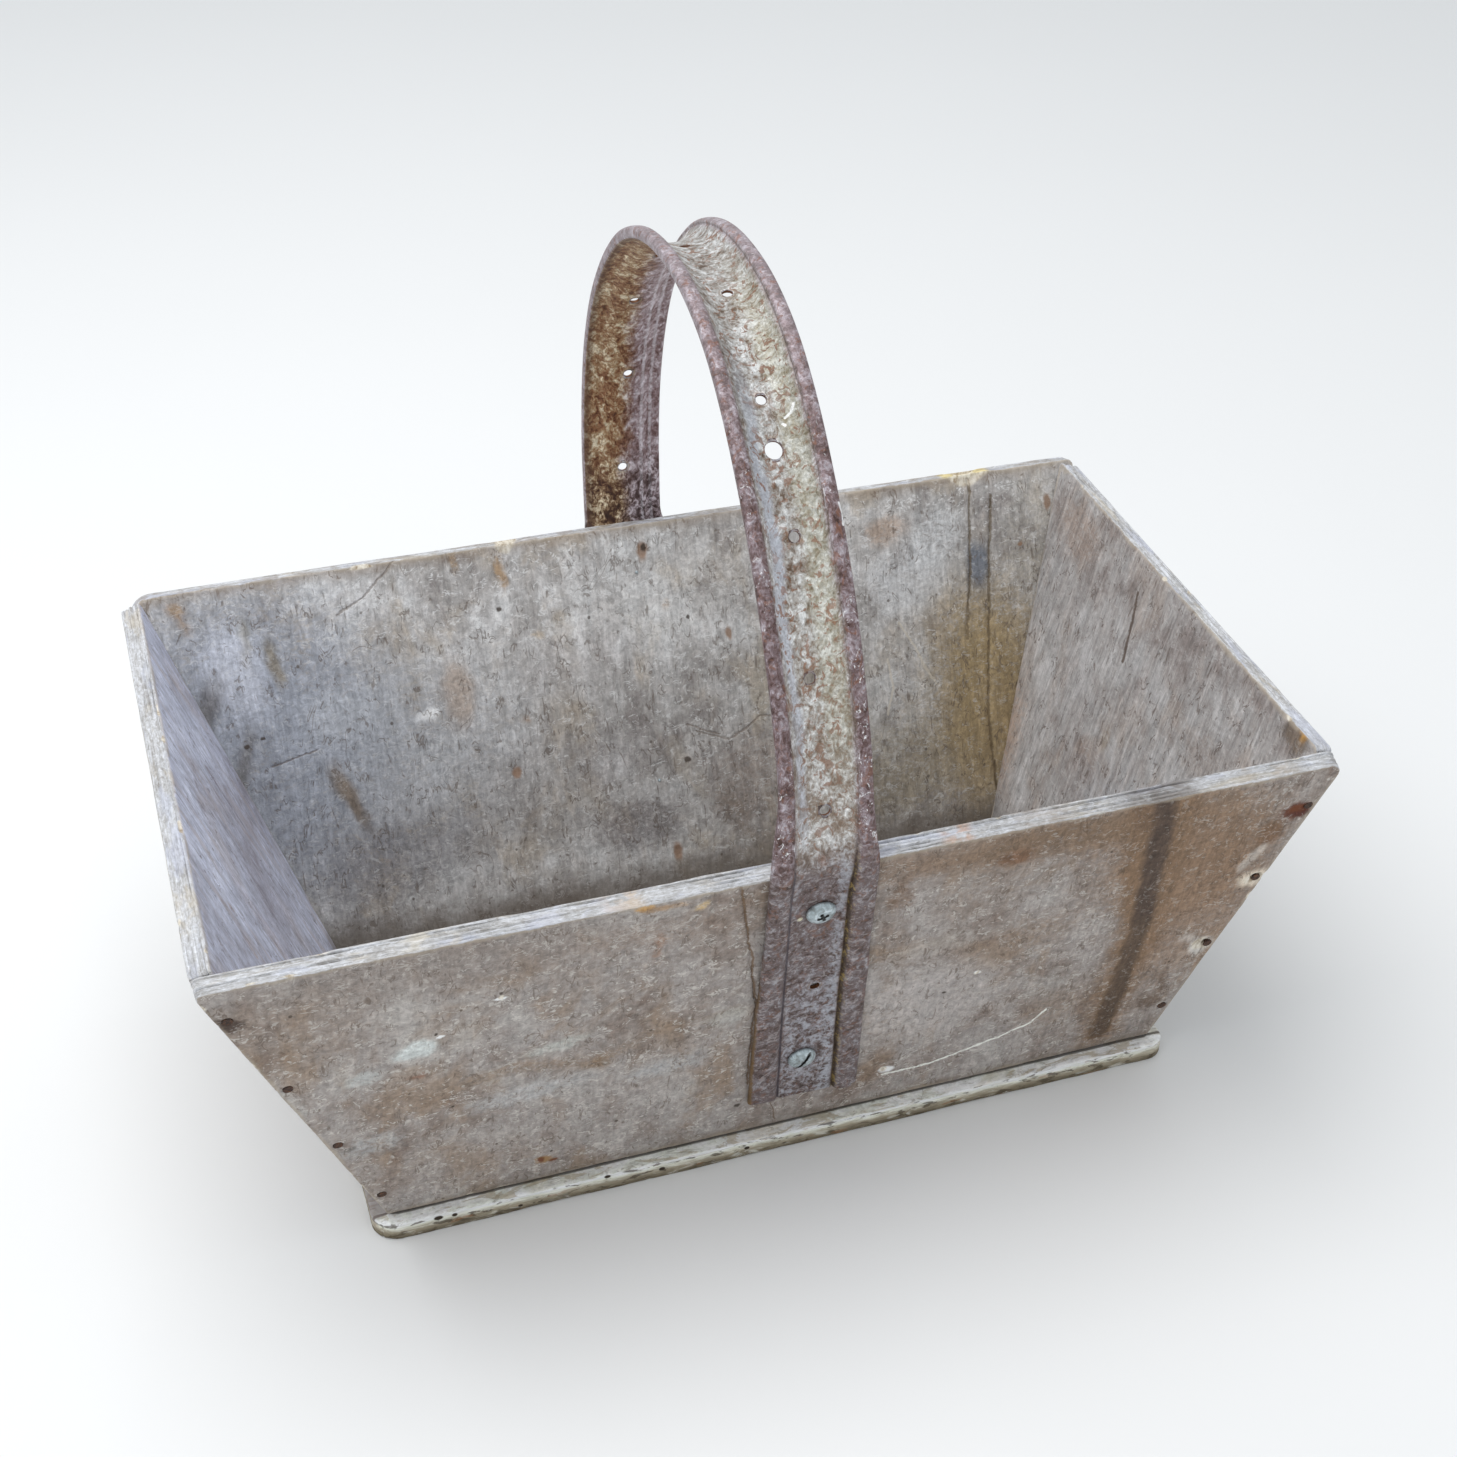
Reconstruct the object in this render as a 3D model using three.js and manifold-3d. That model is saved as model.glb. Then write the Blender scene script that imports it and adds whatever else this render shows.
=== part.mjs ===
// Wooden garden trug (planter box) with a carrying handle bent from an old
// steel bicycle rim. Units are millimetres, +X runs along the box, +Y to the
// back, +Z up, and the underside of the base lies on z = 0.
import * as THREE from 'three';
import { ConvexGeometry } from 'three/addons/geometries/ConvexGeometry.js';
import { mergeVertices } from 'three/addons/utils/BufferGeometryUtils.js';
import Module from 'manifold-3d';

const wasm = await Module();
wasm.setup();

// ---- driving dimensions ------------------------------------------------
const BOARD_T = 9;            // plywood thickness of all five boards
const GAP = 0.3;              // clearance between touching pieces
const TOP_LENGTH = 480;       // outer top edges, along X
const TOP_WIDTH = 300;        // outer top edges, along Y
const FOOT_LEFT = -175;       // outer foot of the left end board
const FOOT_RIGHT = 187;       // outer foot of the right end board
const FOOT_WIDTH = 190;       // outer foot of the front and back boards
const BASE_T = 9;
const RIM_Z = 192;            // height of the outer top edges
const BASE_LIP = 7.5;         // base beyond the front and back boards
const BASE_END = 7;           // base beyond the end boards
const BASE_CORNER_R = 5;

const NAIL_R = 1.1, NAIL_HEAD_R = 2.1, NAIL_HEAD_H = 1.0, NAIL_LENGTH = 26;
const SCREW_R = 2.0, SCREW_HEAD_R = 6.0, SCREW_HEAD_H = 3.4, SCREW_LENGTH = 13;

const SPOKE_PITCH = 54.6;     // spoke holes along the rim
const SPOKE_HOLE_R = 2.3;
const VALVE_HOLE_R = 4.1;
const HANDLE_X = 2.7;         // middle of the arch
const HANDLE_LAP = 166;       // length of each hammered end on its board
const FIRST_SCREW = 25.2;     // first screw below the board's top edge

// ---- helpers -----------------------------------------------------------
const rise = RIM_Z - BASE_T;
const lean = Math.atan((TOP_WIDTH - FOOT_WIDTH) / 2 / rise);
const leanL = Math.atan((TOP_LENGTH / 2 + FOOT_LEFT) / rise);
const leanR = Math.atan((TOP_LENGTH / 2 - FOOT_RIGHT) / rise);
const V = (x, y, z) => new THREE.Vector3(x, y, z);

// a plane as outward normal and a point on it
const plane = (n, p) => ({ n: n.clone().normalize(), p });
const moved = (pl, d) => plane(pl.n, pl.p.clone().addScaledVector(pl.n, d));

function meet(a, b, c) {
  const m = new THREE.Matrix3().set(
    a.n.x, a.n.y, a.n.z, b.n.x, b.n.y, b.n.z, c.n.x, c.n.y, c.n.z);
  const r = V(a.n.dot(a.p), b.n.dot(b.p), c.n.dot(c.p));
  return r.applyMatrix3(m.invert());
}

function hexahedron(u0, u1, v0, v1, w0, w1) {
  const pts = [];
  for (const u of [u0, u1]) for (const v of [v0, v1]) for (const w of [w0, w1]) pts.push(meet(u, v, w));
  return new ConvexGeometry(pts);
}

function toManifold(geometry, matrix) {
  const g = geometry.clone();
  if (matrix) g.applyMatrix4(matrix);
  for (const k of Object.keys(g.attributes)) if (k !== 'position') g.deleteAttribute(k);
  const m = mergeVertices(g, 1e-4);
  return new wasm.Manifold(new wasm.Mesh({
    numProp: 3,
    vertProperties: new Float32Array(m.attributes.position.array),
    triVerts: new Uint32Array(m.index.array),
  }));
}

function fromManifold(man) {
  const mesh = man.getMesh();
  let g = new THREE.BufferGeometry();
  g.setAttribute('position', new THREE.BufferAttribute(new Float32Array(mesh.vertProperties), 3));
  g.setIndex(new THREE.BufferAttribute(new Uint32Array(mesh.triVerts), 1));
  g = g.toNonIndexed();
  g.computeVertexNormals();
  return g;
}

const material = (color, roughness, metalness) =>
  new THREE.MeshStandardMaterial({ color, roughness, metalness });

const PLY_FRONT = material(0x8c7d70, 0.85, 0);
const PLY_BACK = material(0x9a9490, 0.85, 0);
const PLY_LEFT = material(0x8d8c92, 0.85, 0);
const PLY_RIGHT = material(0x8b8480, 0.85, 0);
const PLY_BASE = material(0xa9ada3, 0.85, 0);
const RIM_STEEL = material(0x96918c, 0.6, 0.6);
const SCREW_ZINC = material(0xa9b3b1, 0.45, 0.8);
const NAIL_STEEL = material(0x4a423d, 0.7, 0.6);

const group = new THREE.Group();
function add(name, geometry, mat) {
  const mesh = new THREE.Mesh(geometry, mat);
  mesh.name = name;
  group.add(mesh);
  return mesh;
}

// ---- boards ------------------------------------------------------------
const nF = V(0, -Math.cos(lean), -Math.sin(lean));
const nB = V(0, Math.cos(lean), -Math.sin(lean));
const nL = V(-Math.cos(leanL), 0, -Math.sin(leanL));
const nR = V(Math.cos(leanR), 0, -Math.sin(leanR));
const edgeF = V(0, -TOP_WIDTH / 2, RIM_Z), edgeB = V(0, TOP_WIDTH / 2, RIM_Z);
const edgeL = V(-TOP_LENGTH / 2, 0, RIM_Z), edgeR = V(TOP_LENGTH / 2, 0, RIM_Z);
const outF = plane(nF, edgeF), outB = plane(nB, edgeB), outL = plane(nL, edgeL), outR = plane(nR, edgeR);
// top edges are sawn square to each board's face
const topF = plane(V(0, -Math.sin(lean), Math.cos(lean)), edgeF);
const topB = plane(V(0, Math.sin(lean), Math.cos(lean)), edgeB);
const topL = plane(V(-Math.sin(leanL), 0, Math.cos(leanL)), edgeL);
const topR = plane(V(Math.sin(leanR), 0, Math.cos(leanR)), edgeR);
const foot = plane(V(0, 0, -1), V(0, 0, BASE_T + GAP));

const solids = {
  front_board: toManifold(hexahedron(outF, moved(outF, -BOARD_T), topF, foot, outL, outR)),
  back_board: toManifold(hexahedron(outB, moved(outB, -BOARD_T), topB, foot, outL, outR)),
  left_end_board: toManifold(hexahedron(outL, moved(outL, -BOARD_T), topL, foot,
    moved(outF, -BOARD_T - GAP), moved(outB, -BOARD_T - GAP))),
  right_end_board: toManifold(hexahedron(outR, moved(outR, -BOARD_T), topR, foot,
    moved(outF, -BOARD_T - GAP), moved(outB, -BOARD_T - GAP))),
};

{
  const x0 = FOOT_LEFT - BASE_END, x1 = FOOT_RIGHT + BASE_END, y1 = FOOT_WIDTH / 2 + BASE_LIP, r = BASE_CORNER_R;
  const s = new THREE.Shape();
  s.moveTo(x0 + r, -y1);
  s.lineTo(x1 - r, -y1);
  s.absarc(x1 - r, -y1 + r, r, -Math.PI / 2, 0);
  s.lineTo(x1, y1 - r);
  s.absarc(x1 - r, y1 - r, r, 0, Math.PI / 2);
  s.lineTo(x0 + r, y1);
  s.absarc(x0 + r, y1 - r, r, Math.PI / 2, Math.PI);
  s.lineTo(x0, -y1 + r);
  s.absarc(x0 + r, -y1 + r, r, Math.PI, Math.PI * 1.5);
  solids.base_board = toManifold(new THREE.ExtrudeGeometry(s, { depth: BASE_T, bevelEnabled: false, curveSegments: 5 }));
}

// ---- handle: channel section swept along the bent rim --------------------
// web underside line in the YZ plane, from the front board's end over to the back
const onBoard = (side, s, lift) => {
  const n = side < 0 ? nF : nB, e = side < 0 ? edgeF : edgeB;
  return V(0, e.y - side * s * Math.sin(lean), e.z - s * Math.cos(lean)).addScaledVector(n, lift);
};
const ARCH = [
  [-151.0, 193.0], [-151.3, 199.0], [-150.2, 211.4], [-146.4, 237.5], [-139.0, 263.6], [-129.0, 288.6],
  [-116.3, 313.2], [-100.4, 336.8], [-80.6, 358.4], [-56.6, 375.5], [-29.1, 385.4], [0.9, 387.6],
  [31.3, 383.5], [59.0, 373.1], [83.7, 357.0], [105.3, 337.4], [123.1, 315.4], [136.2, 291.3],
  [144.7, 265.5], [149.4, 238.5], [151.0, 211.8], [151.3, 199.0], [151.0, 193.0],
];
const LIFT = 0.5;
const pathPoints = [];
for (const s of [HANDLE_LAP, 140, 110, 80, 50, 25, 8]) pathPoints.push(onBoard(-1, s, LIFT));
for (const [y, z] of ARCH) pathPoints.push(V(0, y, z));
for (const s of [8, 25, 50, 80, 110, 140, HANDLE_LAP]) pathPoints.push(onBoard(1, s, LIFT));
const path = new THREE.CatmullRomCurve3(pathPoints, false, 'centripetal');
path.arcLengthDivisions = 2000;
const pathLength = path.getLength();

// sections: [u across, v outward]; tyre side from left to right, then the hub side back
const ARCH_TYRE = [[19.0, 5.6], [19.0, 8.8], [17.6, 10.0], [15.2, 9.7], [13.2, 8.2], [10.6, 5.2], [7.4, 2.9], [3.8, 1.7], [0, 1.3]];
const ARCH_HUB = [[17.6, 4.5], [13.6, 4.3], [10.8, 2.6], [7.4, 1.0], [3.8, 0.2], [0, 0]];
const END_TYRE = [[25.3, 0.35], [25.2, 1.9], [23.6, 2.8], [18.0, 2.95], [13.6, 2.7], [12.7, 1.3], [9.0, 1.5], [4.2, 1.6], [0, 1.65]];
const END_HUB = [[23.8, 0.16], [17.5, 0.09], [12.6, 0.05], [8.6, 0.025], [4.2, 0.008], [0, 0]];
const ring = (tyre, hub) => [
  ...tyre.map(([u, v]) => [-u, v]),
  ...tyre.slice(0, -1).reverse(),
  ...hub,
  ...hub.slice(0, -1).reverse().map(([u, v]) => [-u, v]),
];
const archRing = ring(ARCH_TYRE, ARCH_HUB), endRing = ring(END_TYRE, END_HUB);

const smooth = (a, b, x) => { const t = Math.min(1, Math.max(0, (x - a) / (b - a))); return t * t * (3 - 2 * t); };
// how far the channel is hammered flat, from the distance along the rim to its nearer end
function flatness(fromEnd) {
  const above = fromEnd - HANDLE_LAP;           // distance above the board's top edge
  return 0.72 * (1 - smooth(-4, 46, above)) + 0.28 * (1 - smooth(-HANDLE_LAP, -10, above));
}
function centreX(t) {
  const a = t * pathLength;
  if (a < HANDLE_LAP + 30) return HANDLE_X + 1.0 * (1 - smooth(HANDLE_LAP - 10, HANDLE_LAP + 30, a)) + 0.0305 * Math.max(0, HANDLE_LAP - a);
  return HANDLE_X - 0.8 * smooth(pathLength - HANDLE_LAP - 120, pathLength - HANDLE_LAP, a);
}

const STEPS = 84;
// stations are closer together where the rim bends at the board's top edge
const stations = [];
{
  const dense = (a) => 1 + 1.6 * Math.exp(-(((a - HANDLE_LAP - 4) / 22) ** 2)) + 1.6 * Math.exp(-(((pathLength - a - HANDLE_LAP - 4) / 22) ** 2));
  const n = 4000, acc = [0];
  for (let i = 1; i <= n; i++) acc.push(acc[i - 1] + dense(((i - 0.5) / n) * pathLength));
  for (let k = 0; k <= STEPS; k++) {
    const target = (k / STEPS) * acc[n];
    let i = 0;
    while (i < n && acc[i + 1] < target) i++;
    stations.push(k === STEPS ? 1 : (i + (target - acc[i]) / (acc[i + 1] - acc[i])) / n);
  }
}

function railFrame(t) {
  const p = path.getPointAt(t), d = path.getTangentAt(t);
  const out = V(0, -d.z, d.y);                  // away from the box and the inside of the arch
  return { p, d, out };
}

let rim;
{
  const shape = new THREE.Shape(endRing.map(([u, v]) => new THREE.Vector2(u, v)));
  const g = new THREE.ExtrudeGeometry(shape, { depth: STEPS, steps: STEPS, bevelEnabled: false });
  const pos = g.attributes.position;
  const index = new Map(endRing.map(([u, v], i) => [`${u.toFixed(3)},${v.toFixed(3)}`, i]));
  for (let i = 0; i < pos.count; i++) {
    const u0 = pos.getX(i), v0 = pos.getY(i), k = Math.round(pos.getZ(i));
    const j = index.get(`${(Math.abs(u0) < 5e-4 ? 0 : u0).toFixed(3)},${v0.toFixed(3)}`) ?? index.get(`-0.000,${v0.toFixed(3)}`);
    const t = stations[k];
    const f = flatness(Math.min(t, 1 - t) * pathLength);
    const u = archRing[j][0] * (1 - f) + endRing[j][0] * f;
    const v = archRing[j][1] * (1 - f) + endRing[j][1] * f;
    const { p, out } = railFrame(t);
    pos.setXYZ(i, centreX(t) - u, p.y + out.y * v, p.z + out.z * v);
  }
  rim = toManifold(g);
}

// a cylinder of radius r from point p along direction d
function rod(p, d, length, r, segments = 16) {
  const g = new THREE.CylinderGeometry(r, r, length, segments);
  g.translate(0, length / 2, 0);
  const q = new THREE.Quaternion().setFromUnitVectors(V(0, 1, 0), d.clone().normalize());
  return toManifold(g, new THREE.Matrix4().compose(p, q, V(1, 1, 1)));
}

// spoke holes at an even pitch, a little to either side of the middle by turns
const spokeStations = [];
{
  let a = HANDLE_LAP - FIRST_SCREW - 2 * SPOKE_PITCH;
  for (let k = 0; a < pathLength - 20; k++, a += SPOKE_PITCH) spokeStations.push(a);
}
function holeAt(a, x, r) {
  const t = a / pathLength, { p, out } = railFrame(t);
  return rod(V(x, p.y, p.z).addScaledVector(out, -6), out, 18, r, r > 3 ? 20 : 12);
}
const n = spokeStations.length;
// stations that a screw uses: the first and third hole from either end
const screwHoles = [0, 2, n - 3, n - 1];
spokeStations.forEach((a, k) => {
  const stagger = screwHoles.includes(k) ? 0 : (k % 2 ? 0.9 : -0.9);
  if (screwHoles.includes(k)) return;
  rim = rim.subtract(holeAt(a, centreX(a / pathLength) + stagger, SPOKE_HOLE_R));
});
rim = rim.subtract(holeAt(HANDLE_LAP + 172.5, HANDLE_X - 0.6, VALVE_HOLE_R));

// ---- screws through the hammered ends -------------------------------------
function screwGeometry(cross) {
  const r = SCREW_HEAD_R, h = SCREW_HEAD_H, L = SCREW_LENGTH;
  // y = 0 under the head, head towards +y, shank towards -y
  const profile = [
    [0, -L], [SCREW_R * 0.45, -L + 1.6], [SCREW_R, -L + 3.6], [SCREW_R, 0], [r, 0], [r, 0.9],
    [r * 0.93, 1.8], [r * 0.72, 2.7], [r * 0.4, h - 0.15], [0, h],
  ].map(([x, y]) => new THREE.Vector2(x, y));
  let man = toManifold(new THREE.LatheGeometry(profile, 18));
  const slot = (a) => {
    const g = new THREE.BoxGeometry(cross ? 7.2 : 13, 2.4, 1.3);
    g.rotateY(a);
    g.translate(0, h + 0.1, 0);
    return toManifold(g);
  };
  man = man.subtract(slot(0.35));
  if (cross) man = man.subtract(slot(0.35 + Math.PI / 2));
  return fromManifold(man);
}
function placeScrew(name, a, x, cross) {
  const t = a / pathLength, { p, out } = railFrame(t);
  const seat = V(x, p.y, p.z).addScaledVector(out, 1.65 + GAP);
  const q = new THREE.Quaternion().setFromUnitVectors(V(0, 1, 0), out);
  const mesh = add(name, screwGeometry(cross), SCREW_ZINC);
  mesh.position.copy(seat);
  mesh.quaternion.copy(q);
  const bore = rod(seat.clone().addScaledVector(out, 1), out.clone().negate(), SCREW_LENGTH + 2, SCREW_R + GAP, 12);
  rim = rim.subtract(bore);
  const board = a < pathLength / 2 ? 'front_board' : 'back_board';
  solids[board] = solids[board].subtract(bore);
}
const screwX = (a) => centreX(a / pathLength);
placeScrew('handle_screw_front_upper', spokeStations[2], screwX(spokeStations[2]) - 0.4, true);
placeScrew('handle_screw_front_lower', spokeStations[0], screwX(spokeStations[0]) - 1.4, false);
placeScrew('handle_screw_back_upper', spokeStations[n - 3], screwX(spokeStations[n - 3]), true);
placeScrew('handle_screw_back_lower', spokeStations[n - 1], screwX(spokeStations[n - 1]), false);

// ---- nails ------------------------------------------------------------------
function nailGeometry() {
  const L = NAIL_LENGTH, r = NAIL_R, R = NAIL_HEAD_R;
  const profile = [[0, -L], [r, -L + 3], [r, -NAIL_HEAD_H], [R, -NAIL_HEAD_H + 0.5], [R, 0], [0, 0]]
    .map(([x, y]) => new THREE.Vector2(x, y));
  const man = toManifold(new THREE.LatheGeometry(profile, 10));
  return fromManifold(man);
}
const nailShape = nailGeometry();
// head: where the head's top lies; out: the way the head faces; boards: pieces it passes
function drive(name, head, out, boards) {
  const mesh = add(name, nailShape.clone(), NAIL_STEEL);
  mesh.position.copy(head);
  mesh.quaternion.setFromUnitVectors(V(0, 1, 0), out);
  const inward = out.clone().negate();
  const shank = rod(head.clone().addScaledVector(out, 1), inward, NAIL_LENGTH + 1.5, NAIL_R + GAP, 10);
  const recess = rod(head.clone().addScaledVector(out, 3), inward, 3 + NAIL_HEAD_H + GAP, NAIL_HEAD_R + GAP, 10);
  for (const b of boards) solids[b] = solids[b].subtract(shank).subtract(recess);
}
const INSET = 4.1;            // nail line behind the end boards' outer faces
const ROWS = { left: [20.5, 75.5, 125.4, 173.0], right: [26.0, 74.0, 120.6, 167.0] };
for (const [side, board, no, edge] of [[-1, 'front', nF, edgeF], [1, 'back', nB, edgeB]]) {
  for (const end of ['left', 'right']) {
    ROWS[end].forEach((s, i) => {
      const y = edge.y - side * s * Math.sin(lean), z = RIM_Z - s * Math.cos(lean);
      const k = (RIM_Z - z) / rise;
      const x = end === 'left'
        ? -TOP_LENGTH / 2 + k * (TOP_LENGTH / 2 + FOOT_LEFT) + INSET / Math.cos(leanL)
        : TOP_LENGTH / 2 - k * (TOP_LENGTH / 2 - FOOT_RIGHT) - INSET / Math.cos(leanR);
      drive(`nail_${board}_${end}_${i + 1}`, V(x, y, z).addScaledVector(no, -0.1), no, [`${board}_board`, `${end}_end_board`]);
    });
  }
}
// nails up through the base into the boards' lower edges, along each board's slope
function baseNail(name, board, x, y, slope) {
  const out = slope.clone().negate();           // slope points up the board
  drive(name, V(x, y, 0.9), out, ['base_board', board]);
}
const midF = FOOT_WIDTH / 2 - BOARD_T / 2 / Math.cos(lean) - (BASE_T) * Math.tan(lean);
for (const [i, x] of [[1, -130], [2, 6], [3, 142]]) {
  baseNail(`nail_base_front_${i}`, 'front_board', x, -midF, V(0, -Math.sin(lean), Math.cos(lean)));
  baseNail(`nail_base_back_${i}`, 'back_board', x, midF, V(0, Math.sin(lean), Math.cos(lean)));
}
const midL = FOOT_LEFT + BOARD_T / 2 / Math.cos(leanL) + BASE_T * Math.tan(leanL);
const midR = FOOT_RIGHT - BOARD_T / 2 / Math.cos(leanR) - BASE_T * Math.tan(leanR);
for (const [i, y] of [[1, -50], [2, 50]]) {
  baseNail(`nail_base_left_${i}`, 'left_end_board', midL, y, V(-Math.sin(leanL), 0, Math.cos(leanL)));
  baseNail(`nail_base_right_${i}`, 'right_end_board', midR, y, V(Math.sin(leanR), 0, Math.cos(leanR)));
}

add('base_board', fromManifold(solids.base_board), PLY_BASE);
add('front_board', fromManifold(solids.front_board), PLY_FRONT);
add('back_board', fromManifold(solids.back_board), PLY_BACK);
add('left_end_board', fromManifold(solids.left_end_board), PLY_LEFT);
add('right_end_board', fromManifold(solids.right_end_board), PLY_RIGHT);
add('rim_handle', fromManifold(rim), RIM_STEEL);

// centre the outline over the origin
group.updateMatrixWorld(true);
const box = new THREE.Box3().setFromObject(group, true);
group.position.set(-(box.min.x + box.max.x) / 2, -(box.min.y + box.max.y) / 2, 0);
group.updateMatrixWorld(true);

export default group;
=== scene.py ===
import math
import bpy
import bmesh
import numpy as np
from mathutils import Matrix, Vector, Quaternion


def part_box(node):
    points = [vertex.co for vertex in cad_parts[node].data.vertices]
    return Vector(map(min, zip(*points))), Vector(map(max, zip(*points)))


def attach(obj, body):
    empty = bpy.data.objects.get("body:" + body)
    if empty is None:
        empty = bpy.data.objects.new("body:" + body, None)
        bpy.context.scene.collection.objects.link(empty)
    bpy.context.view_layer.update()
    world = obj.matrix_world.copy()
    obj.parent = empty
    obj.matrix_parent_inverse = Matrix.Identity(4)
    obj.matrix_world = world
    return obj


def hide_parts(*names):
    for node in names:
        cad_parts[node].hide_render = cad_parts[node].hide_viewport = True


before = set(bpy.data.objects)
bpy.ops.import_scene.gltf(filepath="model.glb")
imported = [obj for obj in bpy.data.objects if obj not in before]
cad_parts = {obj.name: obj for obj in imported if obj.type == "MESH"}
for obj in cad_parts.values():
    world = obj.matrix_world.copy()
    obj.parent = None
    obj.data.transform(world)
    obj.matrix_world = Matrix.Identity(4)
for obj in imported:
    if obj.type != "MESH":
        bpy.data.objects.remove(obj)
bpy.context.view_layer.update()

bpy.context.scene.view_settings.view_transform = "Standard"
bpy.context.scene.view_settings.look = "None"

# ------------------------------------------------------------------ layout (mm, as in the CAD)
b0, b1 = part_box("base_board")
SX = (b0.x + b1.x) * 500.0 - 6.0           # the CAD centres its outline over the origin
SY = (b0.y + b1.y) * 500.0
T, GAP = 9.0, 0.3
RISE, RIM_Z, BASE_T = 183.0, 192.0, 9.0
LEAN = math.atan(55.0 / RISE)
LEAN_L = math.atan(65.0 / RISE)
LEAN_R = math.atan(53.0 / RISE)
LAP = 166.0


def v3(*a):
    return np.array(a, float)


def unit(v):
    v = np.asarray(v, float)
    return v / np.linalg.norm(v)


nF = v3(0, -math.cos(LEAN), -math.sin(LEAN))
nB = v3(0, math.cos(LEAN), -math.sin(LEAN))
nL = v3(-math.cos(LEAN_L), 0, -math.sin(LEAN_L))
nR = v3(math.cos(LEAN_R), 0, -math.sin(LEAN_R))
eF, eB = v3(0, -150, RIM_Z), v3(0, 150, RIM_Z)
eL, eR = v3(-240, 0, RIM_Z), v3(240, 0, RIM_Z)
tF, tB = v3(0, -math.sin(LEAN), math.cos(LEAN)), v3(0, math.sin(LEAN), math.cos(LEAN))
tL, tR = v3(-math.sin(LEAN_L), 0, math.cos(LEAN_L)), v3(math.sin(LEAN_R), 0, math.cos(LEAN_R))


def meet(*planes):
    a = np.array([n for n, p in planes])
    return np.linalg.solve(a, np.array([n @ p for n, p in planes]))


# ------------------------------------------------------------------ noise (numpy, seeded by lattice hash)
def _hash(ix, iy, iz, seed):
    h = (ix * 374761393 + iy * 668265263 + iz * 2147483647 + seed * 1274126177) & 0xFFFFFFFF
    h = ((h ^ (h >> 13)) * 1274126177) & 0xFFFFFFFF
    h = h ^ (h >> 16)
    return (h & 0xFFFFFF) / float(0xFFFFFF)


def vnoise(x, y, z, seed=0):
    x, y, z = np.broadcast_arrays(np.asarray(x, float), np.asarray(y, float), np.asarray(z, float))
    ix, iy, iz = np.floor(x).astype(np.int64), np.floor(y).astype(np.int64), np.floor(z).astype(np.int64)
    fx, fy, fz = x - ix, y - iy, z - iz
    fx, fy, fz = fx * fx * (3 - 2 * fx), fy * fy * (3 - 2 * fy), fz * fz * (3 - 2 * fz)
    r = 0
    for dx in (0, 1):
        for dy in (0, 1):
            for dz in (0, 1):
                w = (fx if dx else 1 - fx) * (fy if dy else 1 - fy) * (fz if dz else 1 - fz)
                r = r + w * _hash(ix + dx, iy + dy, iz + dz, seed)
    return r * 2 - 1


def fbm(x, y, z, scale, octaves=3, seed=0):
    """-1..1; scale is the size of the largest feature, in the units of x, y, z."""
    a, s, r, n = 1.0, 1.0 / scale, 0, 0
    for o in range(octaves):
        r = r + a * vnoise(np.asarray(x) * s, np.asarray(y) * s, np.asarray(z) * s, seed + 17 * o)
        n += a
        a *= 0.5
        s *= 2.03
    return r / n


def smooth(a, b, x):
    t = np.clip((np.asarray(x, float) - a) / (b - a), 0, 1)
    return t * t * (3 - 2 * t)


# ------------------------------------------------------------------ mesh helpers
def new_object(name, verts, faces, smooth_angle=40, attrs=None):
    """verts in mm in the layout frame; the object is in metres in the row frame."""
    me = bpy.data.meshes.new(name)
    co = (np.asarray(verts, float) + v3(SX, SY, 0)) / 1000.0
    me.from_pydata(co.tolist(), [], [list(map(int, f)) for f in faces])
    me.update()
    for k, val in (attrs or {}).items():
        val = np.asarray(val, np.float32)
        if val.ndim == 2:
            at = me.attributes.new(k, "FLOAT_VECTOR", "POINT")
            at.data.foreach_set("vector", val.ravel())
        else:
            at = me.attributes.new(k, "FLOAT", "POINT")
            at.data.foreach_set("value", val.ravel())
    ob = bpy.data.objects.new(name, me)
    bpy.context.scene.collection.objects.link(ob)
    if smooth_angle:
        me.polygons.foreach_set("use_smooth", [True] * len(me.polygons))
        me.set_sharp_from_angle(angle=math.radians(smooth_angle))
    return ob


def outward(ob):
    bm = bmesh.new()
    bm.from_mesh(ob.data)
    bmesh.ops.recalc_face_normals(bm, faces=bm.faces)
    bm.to_mesh(ob.data)
    bm.free()


def apply_boolean(ob, cutter, sharp=30):
    m = ob.modifiers.new("cut", "BOOLEAN")
    m.operation = "DIFFERENCE"
    m.solver = "EXACT"
    m.object = cutter
    bpy.context.view_layer.update()
    dg = bpy.context.evaluated_depsgraph_get()
    me = bpy.data.meshes.new_from_object(ob.evaluated_get(dg))
    ob.modifiers.clear()
    old = ob.data
    ob.data = me
    bpy.data.meshes.remove(old)
    bpy.data.objects.remove(cutter)
    me.polygons.foreach_set("use_smooth", [True] * len(me.polygons))
    me.set_sharp_from_angle(angle=math.radians(sharp))


def join_parts(parts):
    verts, faces, n = [], [], 0
    for v, f in parts:
        verts.append(np.asarray(v, float))
        faces += [[i + n for i in q] for q in f]
        n += len(v)
    return np.concatenate(verts), faces


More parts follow.
